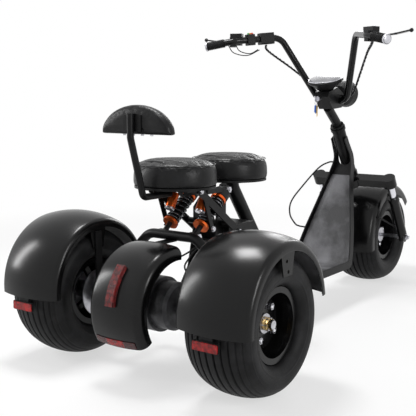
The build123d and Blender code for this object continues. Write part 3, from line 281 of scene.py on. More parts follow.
button_amber = finish("button_amber", (0.62, 0.20, 0.02), (0.72, 0.28, 0.03), (0.3, 0.4), 0.05)
fob_blue = finish("fob_blue", (0.03, 0.10, 0.42), (0.05, 0.16, 0.5), (0.3, 0.45), 0.05)

# %% [markdown]
# Five surfaces need a pattern of their own: pebbled leather, the worn ribbed mat, the
# prism grid of the red lenses, the larger cells of the tail lamp, and the strip whose
# ends are dark. Each adds a few nodes in front of the same shader.

# %% Patterned finishes


def pattern_bump(material, texture, output, strength, distance):
    """Adds a texture's height to the normal that the grain group already gives."""
    nodes, links = material.node_tree.nodes, material.node_tree.links
    coord = nodes.new("ShaderNodeTexCoord")
    links.new(coord.outputs["Object"], texture.inputs["Vector"])
    bump = nodes.new("ShaderNodeBump")
    bump.inputs["Strength"].default_value = strength
    bump.inputs["Distance"].default_value = distance
    shader = nodes["Principled BSDF"]
    links.new(shader.inputs["Normal"].links[0].from_socket, bump.inputs["Normal"])
    links.new(texture.outputs[output], bump.inputs["Height"])
    links.new(bump.outputs["Normal"], shader.inputs["Normal"])


leather = finish("seat_leather", grey(0.005), grey(0.011), (0.3, 0.42), 0.1, 20, 1500, Specular_IOR_Level=0.2)
pebbles = leather.node_tree.nodes.new("ShaderNodeTexVoronoi")
pebbles.inputs["Scale"].default_value = 520.0
pattern_bump(leather, pebbles, "Distance", 0.25, 0.0006)

mat_rubber = finish("mat_rubber", grey(0.035), grey(0.16), (0.6, 0.85), 0.4, 9, 900)
ribs = mat_rubber.node_tree.nodes.new("ShaderNodeTexWave")
ribs.bands_direction = "X"
ribs.inputs["Scale"].default_value = 40.0
pattern_bump(mat_rubber, ribs, "Fac", 0.5, 0.0015)



def square_cells(material, scale, strength, distance):
    """Bumps a regular grid of pyramids into a material, as on a moulded lens."""
    grid = material.node_tree.nodes.new("ShaderNodeTexVoronoi")
    grid.distance = "CHEBYCHEV"
    grid.inputs["Scale"].default_value = scale
    grid.inputs["Randomness"].default_value = 0.0
    pattern_bump(material, grid, "Distance", strength, distance)


lens_red = finish("lens_red", (0.16, 0.002, 0.003), (0.46, 0.006, 0.006), (0.16, 0.26), 0.02, 70, 600,
                  Specular_IOR_Level=0.35)
square_cells(lens_red, 260.0, 0.8, 0.002)
lamp_red = finish("lamp_red", (0.06, 0.001, 0.002), (0.22, 0.004, 0.004), (0.14, 0.24), 0.02, 90, 600,
                  Specular_IOR_Level=0.4)
square_cells(lamp_red, 140.0, 0.9, 0.003)

STRIP_BRIGHT_HALF = 0.034
strip_red = lens_red.copy()
strip_red.name = "strip_red"
sn, sl = strip_red.node_tree.nodes, strip_red.node_tree.links
strip_coord, strip_split = sn.new("ShaderNodeTexCoord"), sn.new("ShaderNodeSeparateXYZ")
strip_ends, strip_dark = sn.new("ShaderNodeMath"), sn.new("ShaderNodeMath")
strip_ends.operation, strip_dark.operation = "ABSOLUTE", "GREATER_THAN"
strip_dark.inputs[1].default_value = STRIP_BRIGHT_HALF
strip_mix = sn.new("ShaderNodeMix")
strip_mix.data_type = "RGBA"
strip_mix.inputs[7].default_value = (0.05, 0.002, 0.003, 1)
strip_shader = sn["Principled BSDF"]
sl.new(strip_coord.outputs["Object"], strip_split.inputs[0])
sl.new(strip_split.outputs["X"], strip_ends.inputs[0])
sl.new(strip_ends.outputs[0], strip_dark.inputs[0])
sl.new(strip_dark.outputs[0], strip_mix.inputs["Factor"])
sl.new(strip_shader.inputs["Base Color"].links[0].from_socket, strip_mix.inputs[6])
sl.new(strip_mix.outputs[2], strip_shader.inputs["Base Color"])

lens_clear = finish("lens_clear", grey(0.72), grey(0.80), (0.04, 0.09), 0.02, 40, 600, Coat_Weight=0.6)
print("finishes made:", len(bpy.data.materials))

# %% [markdown]
# A shape here is a pair: an array of points and a list of faces. Shapes can be joined
# before they become one mesh, so a set of bolts is one piece.

# %% Surfaces from grids


def grid_shape(grid, wrap_rows=False, wrap_cols=True):
    """Quads between neighbours of a grid of points; open ends are closed by a polygon."""
    rows, cols = grid.shape[:2]
    i, j = np.meshgrid(np.arange(rows if wrap_rows else rows - 1),
                       np.arange(cols if wrap_cols else cols - 1), indexing="ij")
    down, across = (i + 1) % rows, (j + 1) % cols
    quads = np.stack([i * cols + j, down * cols + j, down * cols + across, i * cols + across], -1)
    faces = quads.reshape(-1, 4).tolist()
    if wrap_cols and not wrap_rows:
        faces.append(list(range(cols)))
        faces.append(list(range((rows - 1) * cols, rows * cols)))
    return grid.reshape(-1, 3), faces


def joined(shapes):
    """Several shapes as one: later faces count on from the points before them."""
    points, faces, start = [], [], 0
    for verts, polys in shapes:
        points.append(verts)
        faces.extend([[k + start for k in poly] for poly in polys])
        start += len(verts)
    return np.concatenate(points), faces


def mirrored(shape):
    """The shape and its mirror image in X."""
    verts, faces = shape
    return joined([shape, (verts * (-1, 1, 1), faces)])


def unit(vector):
    """The vector divided by its length."""
    vector = np.asarray(vector, float)
    return vector / np.linalg.norm(vector)


def basis(axis):
    """Two directions square to an axis and to each other."""
    axis = unit(axis)
    helper = np.array([1.0, 0, 0]) if abs(axis[0]) < 0.8 else np.array([0, 0, 1.0])
    side = unit(np.cross(axis, helper))
    return side, np.cross(axis, side)


def turned(profile, centre, axis, sides, loop=False):
    """A lathe: each profile point (radius, height) goes round the axis at that height."""
    profile = np.asarray(profile, float)
    side, up = basis(axis)
    angle = np.linspace(0, 2 * math.pi, sides, endpoint=False)[None, :, None]
    radius, height = profile[:, 0][:, None, None], profile[:, 1][:, None, None]
    outwards = np.cos(angle) * side + np.sin(angle) * up
    grid = np.asarray(centre, float) + radius * outwards + height * unit(axis)
    return grid_shape(grid, wrap_rows=loop)


def smooth_line(points, count):
    """A smooth line through the points: on each run a cubic whose end slopes are half
    the step between the neighbours (Catmull-Rom), sampled evenly."""
    p = np.asarray(points, float)
    p = np.vstack([2 * p[0] - p[1], p, 2 * p[-1] - p[-2]])
    t = np.linspace(0, len(p) - 3 - 1e-9, count)
    k = t.astype(int)
    f = (t - k)[:, None]
    a, b, c, d = p[k], p[k + 1], p[k + 2], p[k + 3]
    return 0.5 * (2 * b + (c - a) * f + (2 * a - 5 * b + 4 * c - d) * f**2 + (3 * b - a - 3 * c + d) * f**3)


def path_frames(line):
    """Two cross directions at each point of a line, turned as little as possible."""
    tangent = np.gradient(line, axis=0)
    tangent /= np.linalg.norm(tangent, axis=1)[:, None]
    side, _ = basis(tangent[0])
    sides = []
    for direction in tangent:
        side = unit(side - direction * np.dot(side, direction))
        sides.append(side)
    sides = np.array(sides)
    return sides, np.cross(tangent, sides)


def rod(line, radius, sides=14):
    """A circle carried along a line."""
    line = np.asarray(line, float)
    side, up = path_frames(line)
    angle = np.linspace(0, 2 * math.pi, sides, endpoint=False)[None, :, None]
    outwards = np.cos(angle) * side[:, None] + np.sin(angle) * up[:, None]
    return grid_shape(line[:, None, :] + radius * outwards)


def helix_round(line, radius, turns):
    """A line that winds round another one at a fixed distance."""
    side, up = path_frames(line)
    angle = np.linspace(0, 2 * math.pi * turns, len(line))[:, None]
    return line + radius * (np.cos(angle) * side + np.sin(angle) * up)


def slab(points, depth):
    """A flat outline pushed along a direction, as two rings of the same points."""
    points = np.asarray(points, float)
    return grid_shape(np.stack([points - np.asarray(depth) / 2, points + np.asarray(depth) / 2]))


def hex_bolt(centre, axis, across, height):
    """A hexagon head on a washer, its top edge cut off all round."""
    radius = across / math.sqrt(3)
    washer = turned([(across * 0.62, 0), (across * 0.62, 1.4), (0.1, 1.4)], centre, axis, 24)
    outline = [(radius, 1.2), (radius, height - 1), (radius * 0.82, height), (0.1, height)]
    return joined([washer, turned(outline, centre, axis, 6)])


def piece(name, shape, body, material, stands_for=(), sharp=35.0):
    """Makes a mesh object from a shape, closes its seams and turns its faces outwards."""
    verts, faces = shape
    mesh = bpy.data.meshes.new(name)
    mesh.from_pydata(place(verts).tolist(), [], faces)
    work = bmesh.new()
    work.from_mesh(mesh)
    bmesh.ops.remove_doubles(work, verts=work.verts, dist=1e-6)
    bmesh.ops.recalc_face_normals(work, faces=work.faces)
    work.to_mesh(mesh)
    work.free()
    mesh.polygons.foreach_set("use_smooth", [True] * len(mesh.polygons))
    mesh.set_sharp_from_angle(angle=math.radians(sharp))
    mesh.materials.append(material)
    made = bpy.data.objects.new(name, mesh)
    scene.collection.objects.link(made)
    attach(made, body)
    if stands_for:
        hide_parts(*stands_for)
    print(name, len(mesh.polygons), "faces")
    return made


# %% [markdown]
# The tyres are wide and square-shouldered, with ribs round the tread. The section is
# two rounded quarters on each side, and the grooves are narrow dips in its radius.

# %% Tyres
TYRE_HALF, TYRE_R, TYRE_MID = 116.4, 223.9, 168.0
BEAD_X, BEAD_R, INNER_R = 81.7, 118.5, 100.0
ROUNDNESS = 2.1
SHOULDER_R = 186.0
GROOVE_HALF = 2.6
RING_PROUD = 0.9
# Distance from the tyre's middle, and depth
GROOVES = ((13.5, 6.5), (38.0, 6.5), (61.0, 6.0), (81.0, 4.5), (96.0, 2.5))
# Radius, half width and share of the full height
SIDE_RINGS = ((146, 2.2, 1.0), (181, 1.6, 0.7))


def tyre_section():
    """Half section (x, radius): an upper quarter superellipse from the crown to the
    widest point, then a lower one in to the bead. The left half mirrors it. Grooves
    take depth away where x is near one of their lines, and two thin rings stand
    proud of the sidewall."""
    t = np.linspace(0, math.pi / 2, 150)
    power = 2 / ROUNDNESS
    x_up, r_up = TYRE_HALF * np.sin(t)**power, TYRE_MID + (TYRE_R - TYRE_MID) * np.cos(t)**power
    t = np.linspace(0, math.pi / 2, 40)[1:]
    x_low = BEAD_X + (TYRE_HALF - BEAD_X) * np.cos(t)**power
    r_low = TYRE_MID - (TYRE_MID - BEAD_R) * np.sin(t)**power
    x, r = np.concatenate([x_up, x_low]), np.concatenate([r_up, r_low])
    upper = r > SHOULDER_R
    for line, depth in GROOVES:
        r -= depth * upper * np.exp(-((x - line) / GROOVE_HALF)**4)
    ridge = sum(share * np.exp(-((r - at) / half)**4) for at, half, share in SIDE_RINGS)
    x = x + RING_PROUD * ridge * (r < SHOULDER_R) - RING_PROUD
    return np.append(x, BEAD_X - 1), np.append(r, INNER_R)


def tyre_shape(centre_x, centre_y, sides=112):
    """The section and its mirror image, turned round the axle."""
    x, r = tyre_section()
    profile = np.column_stack([np.concatenate([r[::-1], r[1:]]), np.concatenate([-x[::-1], x[1:]])])
    return turned(profile, (centre_x, centre_y, AXLE_Z), (1, 0, 0), sides, loop=True)


# Label, centre's X and Y, body, tyre's node, and the side that faces out
WHEELS = (("front", 0.0, FRONT_Y, "front_wheel", "front_tyre", 1),
          ("left", -WHEEL_X, 0.0, "rear_wheel_left", "rear_tyre_left", -1),
          ("right", WHEEL_X, 0.0, "rear_wheel_right", "rear_tyre_right", 1))
for label, x, y, body, node, _ in WHEELS:
    piece(f"ribbed_tyre_{label}", tyre_shape(x, y), body, tyre_rubber, (node,), 50)

# %% [markdown]
# The wheel's small hardware is what catches light: domed lug nuts, a brass castle nut
# with its split pin, and the rubber valve.

# %% Lug nuts, castle nuts, pins and valves


def spin_point(centre, out, radius, degrees):
    """A point at a radius and an angle round the axle."""
    turn = math.radians(degrees)
    return np.asarray(centre) + (out, radius * math.cos(turn), radius * math.sin(turn))


LUG_FACE, LUG_CIRCLE_R, LUG_TURNS = 40.5, 55, (0, 90, 180, 270)
LUG_PROFILE = [(11, 0), (10, 4), (8.4, 4.5), (8.4, 11), (6, 14.5), (0.1, 16)]
CASTLE_PROFILE = [(19.5, 48.2), (20.4, 50), (20.4, 61), (17, 64), (16.6, 70), (0.1, 70)]
VALVE_DEG, VALVE_LINE = 200, ((28, 92), (46, 89), (58, 87))
PIN_OUT, PIN_HALF = 67, 20

for label, x, y, body, _, out in WHEELS:
    centre = (x, y, AXLE_Z)
    first = 20 if label == "front" else 55
    spots = [spin_point(centre, out * LUG_FACE, LUG_CIRCLE_R, first + turn) for turn in LUG_TURNS]
    caps = [turned(LUG_PROFILE, spot, (out, 0, 0), 24) for spot in spots]
    piece(f"lug_caps_{label}", joined(caps), body, chrome)
    stem = [spin_point(centre, out * away, radius, VALVE_DEG) for away, radius in VALVE_LINE]
    piece(f"valve_{label}", rod(smooth_line(stem, 12), 4.2), body, plastic)
    if label != "front":
        crown = turned(CASTLE_PROFILE, centre, (out, 0, 0), 12)
        piece(f"castle_nut_{label}", crown, body, brass)
        pin = rod([spin_point(centre, out * PIN_OUT, PIN_HALF, degrees) for degrees in (40, 220)], 1.8, 8)
        piece(f"split_pin_{label}", pin, body, zinc)

# %% [markdown]
# The mudguards are pressed shells: a nearly flat crown, a rounded shoulder and a flank
# with a rolled edge. One closed section is carried round an arc.

# %% Mudguards


def guard_half(radius, half, sag, shoulder):
    """Half the outer section: the crown's long arc, then the shoulder's short one."""
    crown = (half**2 + sag**2) / (2 * sag)
    middle, inner_x = radius - crown, half - shoulder
    reach = math.sqrt((crown - shoulder)**2 - inner_x**2)
    turn = math.atan2(inner_x, reach)
    a = np.linspace(0, turn, 16)
    b = np.linspace(turn, math.pi / 2, 18)[1:]
    x = np.concatenate([crown * np.sin(a), inner_x + shoulder * np.sin(b)])
    r = np.concatenate([middle + crown * np.cos(a), middle + reach + shoulder * np.cos(b)])
    return x, r


def swept(section, centre, start, end, steps):
    """A closed section of (x, radius) points carried round the centre, in degrees."""
    turn = np.radians(np.linspace(start, end, steps))[:, None]
    grid = np.stack([np.broadcast_to(section[:, 0], (steps, len(section))),
                     section[:, 1] * np.cos(turn), section[:, 1] * np.sin(turn)], -1)
    return grid_shape(grid + np.asarray(centre, float))


def guard_shape(centre, section_sizes, low, start, end, wall=4.0, steps=88):
    """The outer section down to a rolled edge, then the inner one back, carried from one
    angle to the other. The rolled edge is nearly a half circle, as thick as the wall."""
    radius, half, sag, shoulder = section_sizes
    x, r = guard_half(radius, half, sag, shoulder)
    edge = np.linspace(0, math.pi, 9)
    x_out = np.concatenate([x, np.full(6, half), half - 1.6 + 1.6 * np.cos(edge * 0.9)])
    r_out = np.concatenate([r, np.linspace(r[-1], low + 5, 7)[1:], low + 2.4 - 2.4 * np.sin(edge * 0.9)])
    xi, ri = guard_half(radius - wall, half - wall, sag, shoulder - wall)
    x_in = np.concatenate([xi, np.full(6, half - wall)])
    r_in = np.concatenate([ri, np.linspace(ri[-1], low + 3, 7)[1:]])
    right = np.column_stack([x_out, r_out])
    left = right[::-1] * (-1, 1)
    inner = np.column_stack([x_in, r_in])
    section = np.concatenate([left, right[1:], inner[::-1], inner[1:] * (-1, 1)])
    return swept(section, centre, start, end, steps)


def guard_tab(x):
    """The tab below the guard's flank, as a flat plate across X."""
    outline = [(-57.5, 456), (-41.5, 381), (6.5, 381), (20.5, 456)]
    return slab([(x, y, z) for y, z in outline], (3.6, 0, 0))


# Each section: radius of the crown, half width, sag of the crown, radius of the shoulder
REAR_SECTION = (245, 127, 22, 22)
MIDDLE_SECTION, MIDDLE_CENTRE = (198, 106, 10, 30), (0, -25, 228)
FRONT_SECTION = (260, 122, 20, 26)
TAB_XS = (493, 243)
TAB_BOLTS = ((-24, 425), (-15, 393))
for side, sign in (("left", -1), ("right", 1)):
    dome = guard_shape((sign * 368, 4, 251), REAR_SECTION, low=197, start=8, end=184)
    tabs = [guard_tab(sign * x) for x in TAB_XS]
    piece(f"guard_shell_{side}", joined([dome, *tabs]), "chassis", guard_black,
          (f"rear_guard_{side}",))
middle = guard_shape(MIDDLE_CENTRE, MIDDLE_SECTION, low=152, start=84, end=211)
piece("middle_guard_shell", middle, "chassis", guard_black, ("mid_guard",))
front = guard_shape((0, FRONT_Y, AXLE_Z), FRONT_SECTION, low=200, start=40, end=191)
piece("front_guard_shell", front, "steering", guard_black, ("front_guard",))

# %% [markdown]
# Inside, the rear guards have a paler grey face, with lighter blotches from noise. It is a skin
# half a millimetre thick, 0.4 mm inside the shell. Plated bolts hold the outer tab to its bracket.

# %% Guard linings and tab bolts
LINING_SECTION = (240.6, 122.6, 22, 17.6)
for side, sign in (("left", -1), ("right", 1)):
    lining = guard_shape((sign * 368, 4, 251), LINING_SECTION, low=203, start=9, end=183, wall=0.5)
    piece(f"guard_lining_{side}", lining, "chassis", liner_grey)
    bolts = [hex_bolt((sign * 490.8, y, z), (sign, 0, 0), 12, 4) for y, z in TAB_BOLTS]
    piece(f"guard_bolts_{side}", joined(bolts), "chassis", zinc)

# %% [markdown]
# The two side reflectors are moulded blocks that stand proud of a dark tray, on short
# black plates. The strip follows the middle guard's section, 2.3 mm proud of it. The
# lenses replace the solids' one node, and the trays and the strip go with them.

# %% Reflectors


def block(centre, size, round_off=2.0):
    """A box whose four edges along Y are cut off by a small amount."""
    x, z = size[0] / 2, size[2] / 2
    c = round_off
    outline = [(-x + c, -z), (x - c, -z), (x, -z + c), (x, z - c),
               (x - c, z), (-x + c, z), (-x, z - c), (-x, -z + c)]
    ring = np.array([(centre[0] + a, centre[1], centre[2] + b) for a, b in outline])
    return slab(ring, (0, size[1], 0))


STRIP_HALF, STRIP_PROUD, STRIP_THICK = 78.0, 2.3, 2.0


def strip_shape():
    """The middle guard's outer section, moved out and cut off at the strip's half
    length, with a copy of itself inside, carried over 7 degrees."""
    x, r = guard_half(*MIDDLE_SECTION)
    keep = x < STRIP_HALF
    x, r = np.append(x[keep], STRIP_HALF), np.append(r[keep], np.interp(STRIP_HALF, x, r))
    right = np.column_stack([x, r + STRIP_PROUD])
    outside = np.concatenate([right[::-1] * (-1, 1), right[1:]])
    inside = outside[::-1] - (0, STRIP_THICK)
    return swept(np.concatenate([outside, inside]), MIDDLE_CENTRE, 202.5, 209.5, 9)


LENS_X, LENS_Z = 368, 207.5
lenses = mirrored(block((LENS_X, -244.2, LENS_Z), (85, 7.4, 25)))
piece("side_lenses", lenses, "chassis", lens_red, ("reflectors",))
tray, plate = block((LENS_X, -241.6, LENS_Z), (89, 7.0, 29)), block((LENS_X, -236.6, 227), (40, 3, 44))
trays = mirrored(joined([tray, plate]))
piece("reflector_trays", trays, "chassis", plastic)
piece("strip_lens", strip_shape(), "chassis", strip_red)

# %% [markdown]
# The coil springs are the part's showpiece. The solids stand in for them with stacked
# rings. Here each is one true helix whose end turns lie closer together.

# %% Shock springs
SHOCK_LOW, SHOCK_TOP, SHOCK_X = np.array([113.0, 432.0]), np.array([290.0, 571.0]), 64.0
SPRING_INSET, SPRING_TURNS, END_CROWDING = 58.0, 7.0, 0.35
shock_way = unit([0, *(SHOCK_TOP - SHOCK_LOW)])
shock_run = float(np.linalg.norm(SHOCK_TOP - SHOCK_LOW))


def spring_shape(x, radius=21.4, wire=3.5):
    """A wire on a helix. Its rise slows down at each end, where a sine is taken off
    the even one, so the end turns crowd together as on a real spring."""
    t = np.linspace(0, 1, 420)
    eased = t - np.sin(2 * math.pi * t) / (2 * math.pi) * END_CROWDING
    base = np.array([x, *SHOCK_LOW]) + shock_way * SPRING_INSET
    line = base + np.outer(eased * (shock_run - 2 * SPRING_INSET), shock_way)
    side, up = basis(shock_way)
    angle = 2 * math.pi * SPRING_TURNS * t[:, None]
    return rod(line + radius * (np.cos(angle) * side + np.sin(angle) * up), wire, 10)


springs = joined([spring_shape(SHOCK_X), spring_shape(-SHOCK_X)])
piece("coil_springs", springs, "chassis", spring_black, ("shock_springs",), 60)

# %% [markdown]
# Each gas canister ends in a silver cap with a toothed rim, which gives a grip to turn
# it by. Its radius steps between two values round the rim.

# %% Canister ends
CAN_LOW, CAN_HIGH = np.array([148.0, 514.0]), np.array([176.0, 560.0])
CAP_RADIUS, CAP_HEIGHT, CAP_BELOW, TOOTH = 16.0, 9.0, 7.5, 0.7


def knurled(centre, axis, radius, height, teeth=30):
    """A ring whose radius steps in and out round the rim, with both edges cut off."""
    side, up = basis(axis)
    angle = np.linspace(0, 2 * math.pi, teeth * 4, endpoint=False)
    wave = radius + TOOTH * np.sign(np.sin(angle * teeth))
    levels = np.array([[0.1, 0], [0.92, 0], [1, 1.5], [1, height - 1.5], [0.92, height], [0.1, height]])
    ring = np.cos(angle)[:, None] * side + np.sin(angle)[:, None] * up
    grid = (np.asarray(centre, float) + (levels[:, 0, None] * wave[None])[:, :, None] * ring[None]
            + levels[:, 1, None, None] * unit(axis))
    return grid_shape(grid)


can_way = unit([0, *(CAN_HIGH - CAN_LOW)])
ends = [knurled((s * SHOCK_X, *CAN_LOW), can_way, CAP_RADIUS, CAP_HEIGHT) for s in (-1, 1)]
ends = [(verts - can_way * CAP_BELOW, faces) for verts, faces in ends]
piece("canister_ends", joined(ends), "chassis", zinc)

# %% [markdown]
# The seats are foam under black leather. Each starts as a crowned closed form, a short
# cloth simulation with pressure tightens it, and the wavy sewn channels and the piping
# come after, since remeshing would remove them.

# %% Padded forms
PAD_BASE, PAD_HALF_X, PAD_HALF_Y = 600.3, 140, 132
# Scale of the ring, and its height
PAD_RINGS = np.array([(0.02, 0), (0.80, 0), (0.97, 0), (0.99, 3), (1.0, 16), (0.995, 36), (0.975, 56),
                      (0.94, 69), (0.86, 76), (0.70, 81), (0.40, 84), (0.02, 84)])
PAD_SQUEEZE = 0.97
BACK_LOW, BACK_HEIGHT, BACK_HALF, BACK_Y, BACK_DEPTH = 772, 90, 138, -108, 42
BACK_EDGE, ARC_SHARE = 13, 0.7


def cushion_shape(centre_y):
    """Rings of an ellipse: heights rise along the side, lean in at the shoulder and
    close over a low dome. Ring scale and height are read from one short table."""
    level = np.linspace(0, len(PAD_RINGS) - 1, 60)
    scale = np.interp(level, np.arange(len(PAD_RINGS)), PAD_RINGS[:, 0])[:, None]
    height = np.interp(level, np.arange(len(PAD_RINGS)), PAD_RINGS[:, 1])[:, None]
    angle = np.linspace(0, 2 * math.pi, 96, endpoint=False)[None]
    x, y = scale * PAD_HALF_X * np.cos(angle), centre_y + scale * PAD_HALF_Y * np.sin(angle)
    return grid_shape(np.stack([x, y, PAD_BASE + np.broadcast_to(height, x.shape) * PAD_SQUEEZE], -1))


def backrest_shape():
    """A half-ellipse outline, flat below. Its inset grows with the cube of the distance
    from mid depth, which rounds the front and back edges."""
    depth = np.linspace(0, 1, 26)
    inset = BACK_EDGE * (np.abs(2 * depth - 1)**3.0)[:, None]
    t = np.linspace(0, 1, 90, endpoint=False)[None]
    arc = t < ARC_SHARE
    turn = math.pi * t / ARC_SHARE
    run = (t - ARC_SHARE) / (1 - ARC_SHARE)
    half = BACK_HALF - inset
    x = np.where(arc, half * np.cos(turn), half * (-1 + 2 * run))
    z = np.where(arc, BACK_LOW + inset + (BACK_HEIGHT - 2 * inset) * np.sin(turn), BACK_LOW + inset)
    y = np.broadcast_to(BACK_Y + BACK_DEPTH * depth[:, None], x.shape)
    return grid_shape(np.stack([x, y, z], -1))


def mesh_of(made):
    """The object's mesh as its modifiers leave it, as a new mesh."""
    graph = bpy.context.evaluated_depsgraph_get()
    return bpy.data.meshes.new_from_object(made.evaluated_get(graph))


def read_points(mesh):
    """A mesh's points as rows of x, y, z."""
    flat = np.empty(len(mesh.vertices) * 3)
    mesh.vertices.foreach_get("co", flat)
    return flat.reshape(-1, 3)


# %% [markdown]
# Blender's Cloth needs even faces, so each form is remeshed first. Pressure then pushes
# the skin out with its base pinned, and a cap on the travel keeps the pad in the space
# of its solid.

# %% Blowing up a pad
VOXEL, PRESSURE, FRAMES = 0.005, 4.0, 20


def inflate(pad, hold_below, cap):
    """Remeshes, blows the pad up gently as cloth with its base pinned, lets no point
    move further than the cap, and smooths the result. All lengths are in metres."""
    remesh = pad.modifiers.new("even", "REMESH")
    remesh.mode = "VOXEL"
    remesh.voxel_size = VOXEL
    pad.data = mesh_of(pad)
    pad.modifiers.clear()
    start = read_points(pad.data)
    pins = pad.vertex_groups.new(name="pinned")
    pins.add([int(k) for k in np.flatnonzero(start[:, 2] < hold_below)], 1.0, "REPLACE")
    cloth = pad.modifiers.new("puff", "CLOTH")
    cloth.settings.vertex_group_mass = "pinned"
    cloth.settings.use_pressure = True
    cloth.settings.uniform_pressure_force = PRESSURE
    cloth.settings.effector_weights.gravity = 0.0
    cloth.point_cache.frame_start, cloth.point_cache.frame_end = 1, FRAMES
    for number in range(1, FRAMES + 1):
        scene.frame_set(number)
    settled = read_points(mesh_of(pad))
    pad.modifiers.clear()
    pad.vertex_groups.clear()
    scene.frame_set(1)
    move = settled - start
    far = np.maximum(np.linalg.norm(move, axis=1), 1e-9)[:, None]
    start = start + move * np.minimum(1.0, cap / far)
    pad.data.vertices.foreach_set("co", start.ravel())
    print(pad.name, "moved at most", round(float(np.minimum(far, cap).max()) * MM, 1), "mm")
    soft = pad.modifiers.new("smooth", "SUBSURF")
    soft.levels = soft.render_levels = 1
    pad.data = mesh_of(pad)
    pad.modifiers.clear()
    pad.data.materials.clear()
    pad.data.materials.append(leather)
    pad.data.polygons.foreach_set("use_smooth", [True] * len(pad.data.polygons))


# %% [markdown]
# The saddles are quilted in waves across their width. The channels are pressed into the
# finished mesh, and a thin piping follows the shoulder.

# %% Saddles with channels and piping
ROW, WAVE, WAVE_RUN = 30, 5, 22
CHANNEL_DEPTH, CHANNEL_HALF, PUFF = 6.0, 3.6, 0.5


def sew(pad, centre_y):
    """Presses wavy channels into the top. Depth falls off with the distance to the
    nearest line y = 30 k - 5 sin(x / 22), and fades out over the shoulder."""
    points = read_points(pad.data) * MM
    x, y, z = points[:, 0], points[:, 1] + SHIFT_Y - centre_y, points[:, 2]
    off = (y + WAVE * np.sin(x / WAVE_RUN) + ROW / 2) % ROW - ROW / 2
    inside = np.clip(1 - ((x / 112)**2 + (y / 104)**2), 0, 1)
    top = np.clip((z - PAD_BASE - 62) / 10, 0, 1)
    channel = CHANNEL_DEPTH * np.exp(-(off / CHANNEL_HALF)**2) - PUFF
    points[:, 2] = z - channel * np.minimum(1, inside * 4) * top
    pad.data.vertices.foreach_set("co", (points / MM).ravel())
    pad.data.update()


PIPING_X, PIPING_Y, PIPING_UP = 133.5, 126, 68.5
round_it = np.linspace(0, 2 * math.pi, 121)
for node, centre_y in (("rear_seat_cushion", 97.0), ("front_seat_cushion", 408.0)):
    name = node.replace("_cushion", "")
    pad = piece(f"{name}_leather", cushion_shape(centre_y), "chassis", leather, (node,), 60)
    inflate(pad, (PAD_BASE + 3) / MM, 0.004)
    sew(pad, centre_y)
    seam = np.column_stack([PIPING_X * np.cos(round_it), centre_y + PIPING_Y * np.sin(round_it),
                            np.full_like(round_it, PAD_BASE + PIPING_UP)])
    piece(f"{name}_piping", rod(seam, 1.6, 8), "chassis", leather)

# %% [markdown]
# The backrest is a half-round pad with its flat edge at the bottom and four bolts below
# it. A bevelled curve could make it as well. It is blown up like the saddles, so that all
# three pads look equally soft.

# %% Backrest
pad = piece("backrest_leather", backrest_shape(), "chassis", leather, ("backrest_pad",), 60)
inflate(pad, (BACK_LOW + 4) / MM, 0.003)
bolts = [hex_bolt((x, -87, 771.8), (0, 0, -1), 9, 4) for x in (-55, -18, 18, 55)]
piece("backrest_bolts", joined(bolts), "chassis", zinc)

# %% [markdown]
# The grips are moulded rubber sleeves with rings, and the loom along the bar is bound
# in spiral wrap. A helix carried round the cable's own line gives the wrap.

# %% Grips and wrapped cables
BAR_END, BAR_IN = np.array([401.0, 835.0, 1094.0]), np.array([302.0, 890.0, 1116.0])
grip_way = unit(BAR_END - BAR_IN)
GRIP_R, RING_HEIGHT, RING_COUNT, GRIP_LENGTH = 17.2, 0.9, 18, 74
along = np.linspace(0, 1, 160)
grip_profile = np.column_stack([GRIP_R + RING_HEIGHT * np.cos(along * 2 * math.pi * RING_COUNT),
                                -GRIP_LENGTH + GRIP_LENGTH * along])
grip_profile = np.vstack([(14.3, -GRIP_LENGTH), grip_profile, (19, 0.3), (19, 7), (16, 9), (0.1, 9)])
grip_one = turned(grip_profile, BAR_END, grip_way, 40)
piece("ringed_grips", mirrored(grip_one), "steering", plastic, ("grips",), 60)

LEFT_LOOM = [(-216, 1004, 1103), (-212, 1016, 1078), (-160, 1120, 1010), (-104, 1236, 930),
             (-62, 1238, 896), (-34, 1236, 893)]
RIGHT_LOOM = [(308, 926, 1099), (296, 942, 1084), (250, 1005, 1056), (170, 1116, 978),
              (92, 1222, 902), (62, 1238, 890), (34, 1238, 888)]
looms = [smooth_line(line, 360) for line in (LEFT_LOOM, RIGHT_LOOM)]
cores = [rod(line, 4.2, 12) for line in looms]
piece("bar_looms", joined(cores), "steering", plastic, ("bar_cables",), 60)
wraps = [rod(helix_round(line, 4.6, 34), 1.1, 6) for line in looms]
piece("loom_wraps", joined(wraps), "steering", spring_black, (), 60)
NECK_LINE = [(-47.4, 1330, 590), (-74, 1330, 587), (-115, 1310, 560), (-160, 1247, 482), (-192, 1199, 412),
             (-190, 1184, 355), (-166, 1190, 313), (-146, 1194, 303), (-116, 1200, 300)]
neck = smooth_line(NECK_LINE, 120)
piece("neck_hose", rod(neck, 3.5), "chassis", plastic, ("neck_cable",), 60)

# %% [markdown]
# The gauge is a shallow silver-grey dome over a dark body, with a bezel ring. Its
# profile is turned on a lathe whose axis leans towards the rider.

# %% Gauge
GAUGE_LEAN = math.radians(15.0)
GAUGE_CENTRE, BEZEL_R, BEZEL_UP = (0, 1141, 950), 72, 10
gauge_axis = (0, -math.sin(GAUGE_LEAN), math.cos(GAUGE_LEAN))
under = [(0.1, -36), (29, -36), (33, -33), (57, -13), (73, -3), (76, 0), (76, 6), (72, 9), (0.1, 9)]
piece("gauge_body", turned(under, GAUGE_CENTRE, gauge_axis, 64), "steering", plastic, ("gauge",))
dome = [(0.1, 8), (71, 8), (71.5, 11), (66, 15), (55, 18.4), (36, 22), (16, 24.4), (0.1, 25)]
piece("gauge_dome", turned(dome, GAUGE_CENTRE, gauge_axis, 64), "steering", gauge_grey)


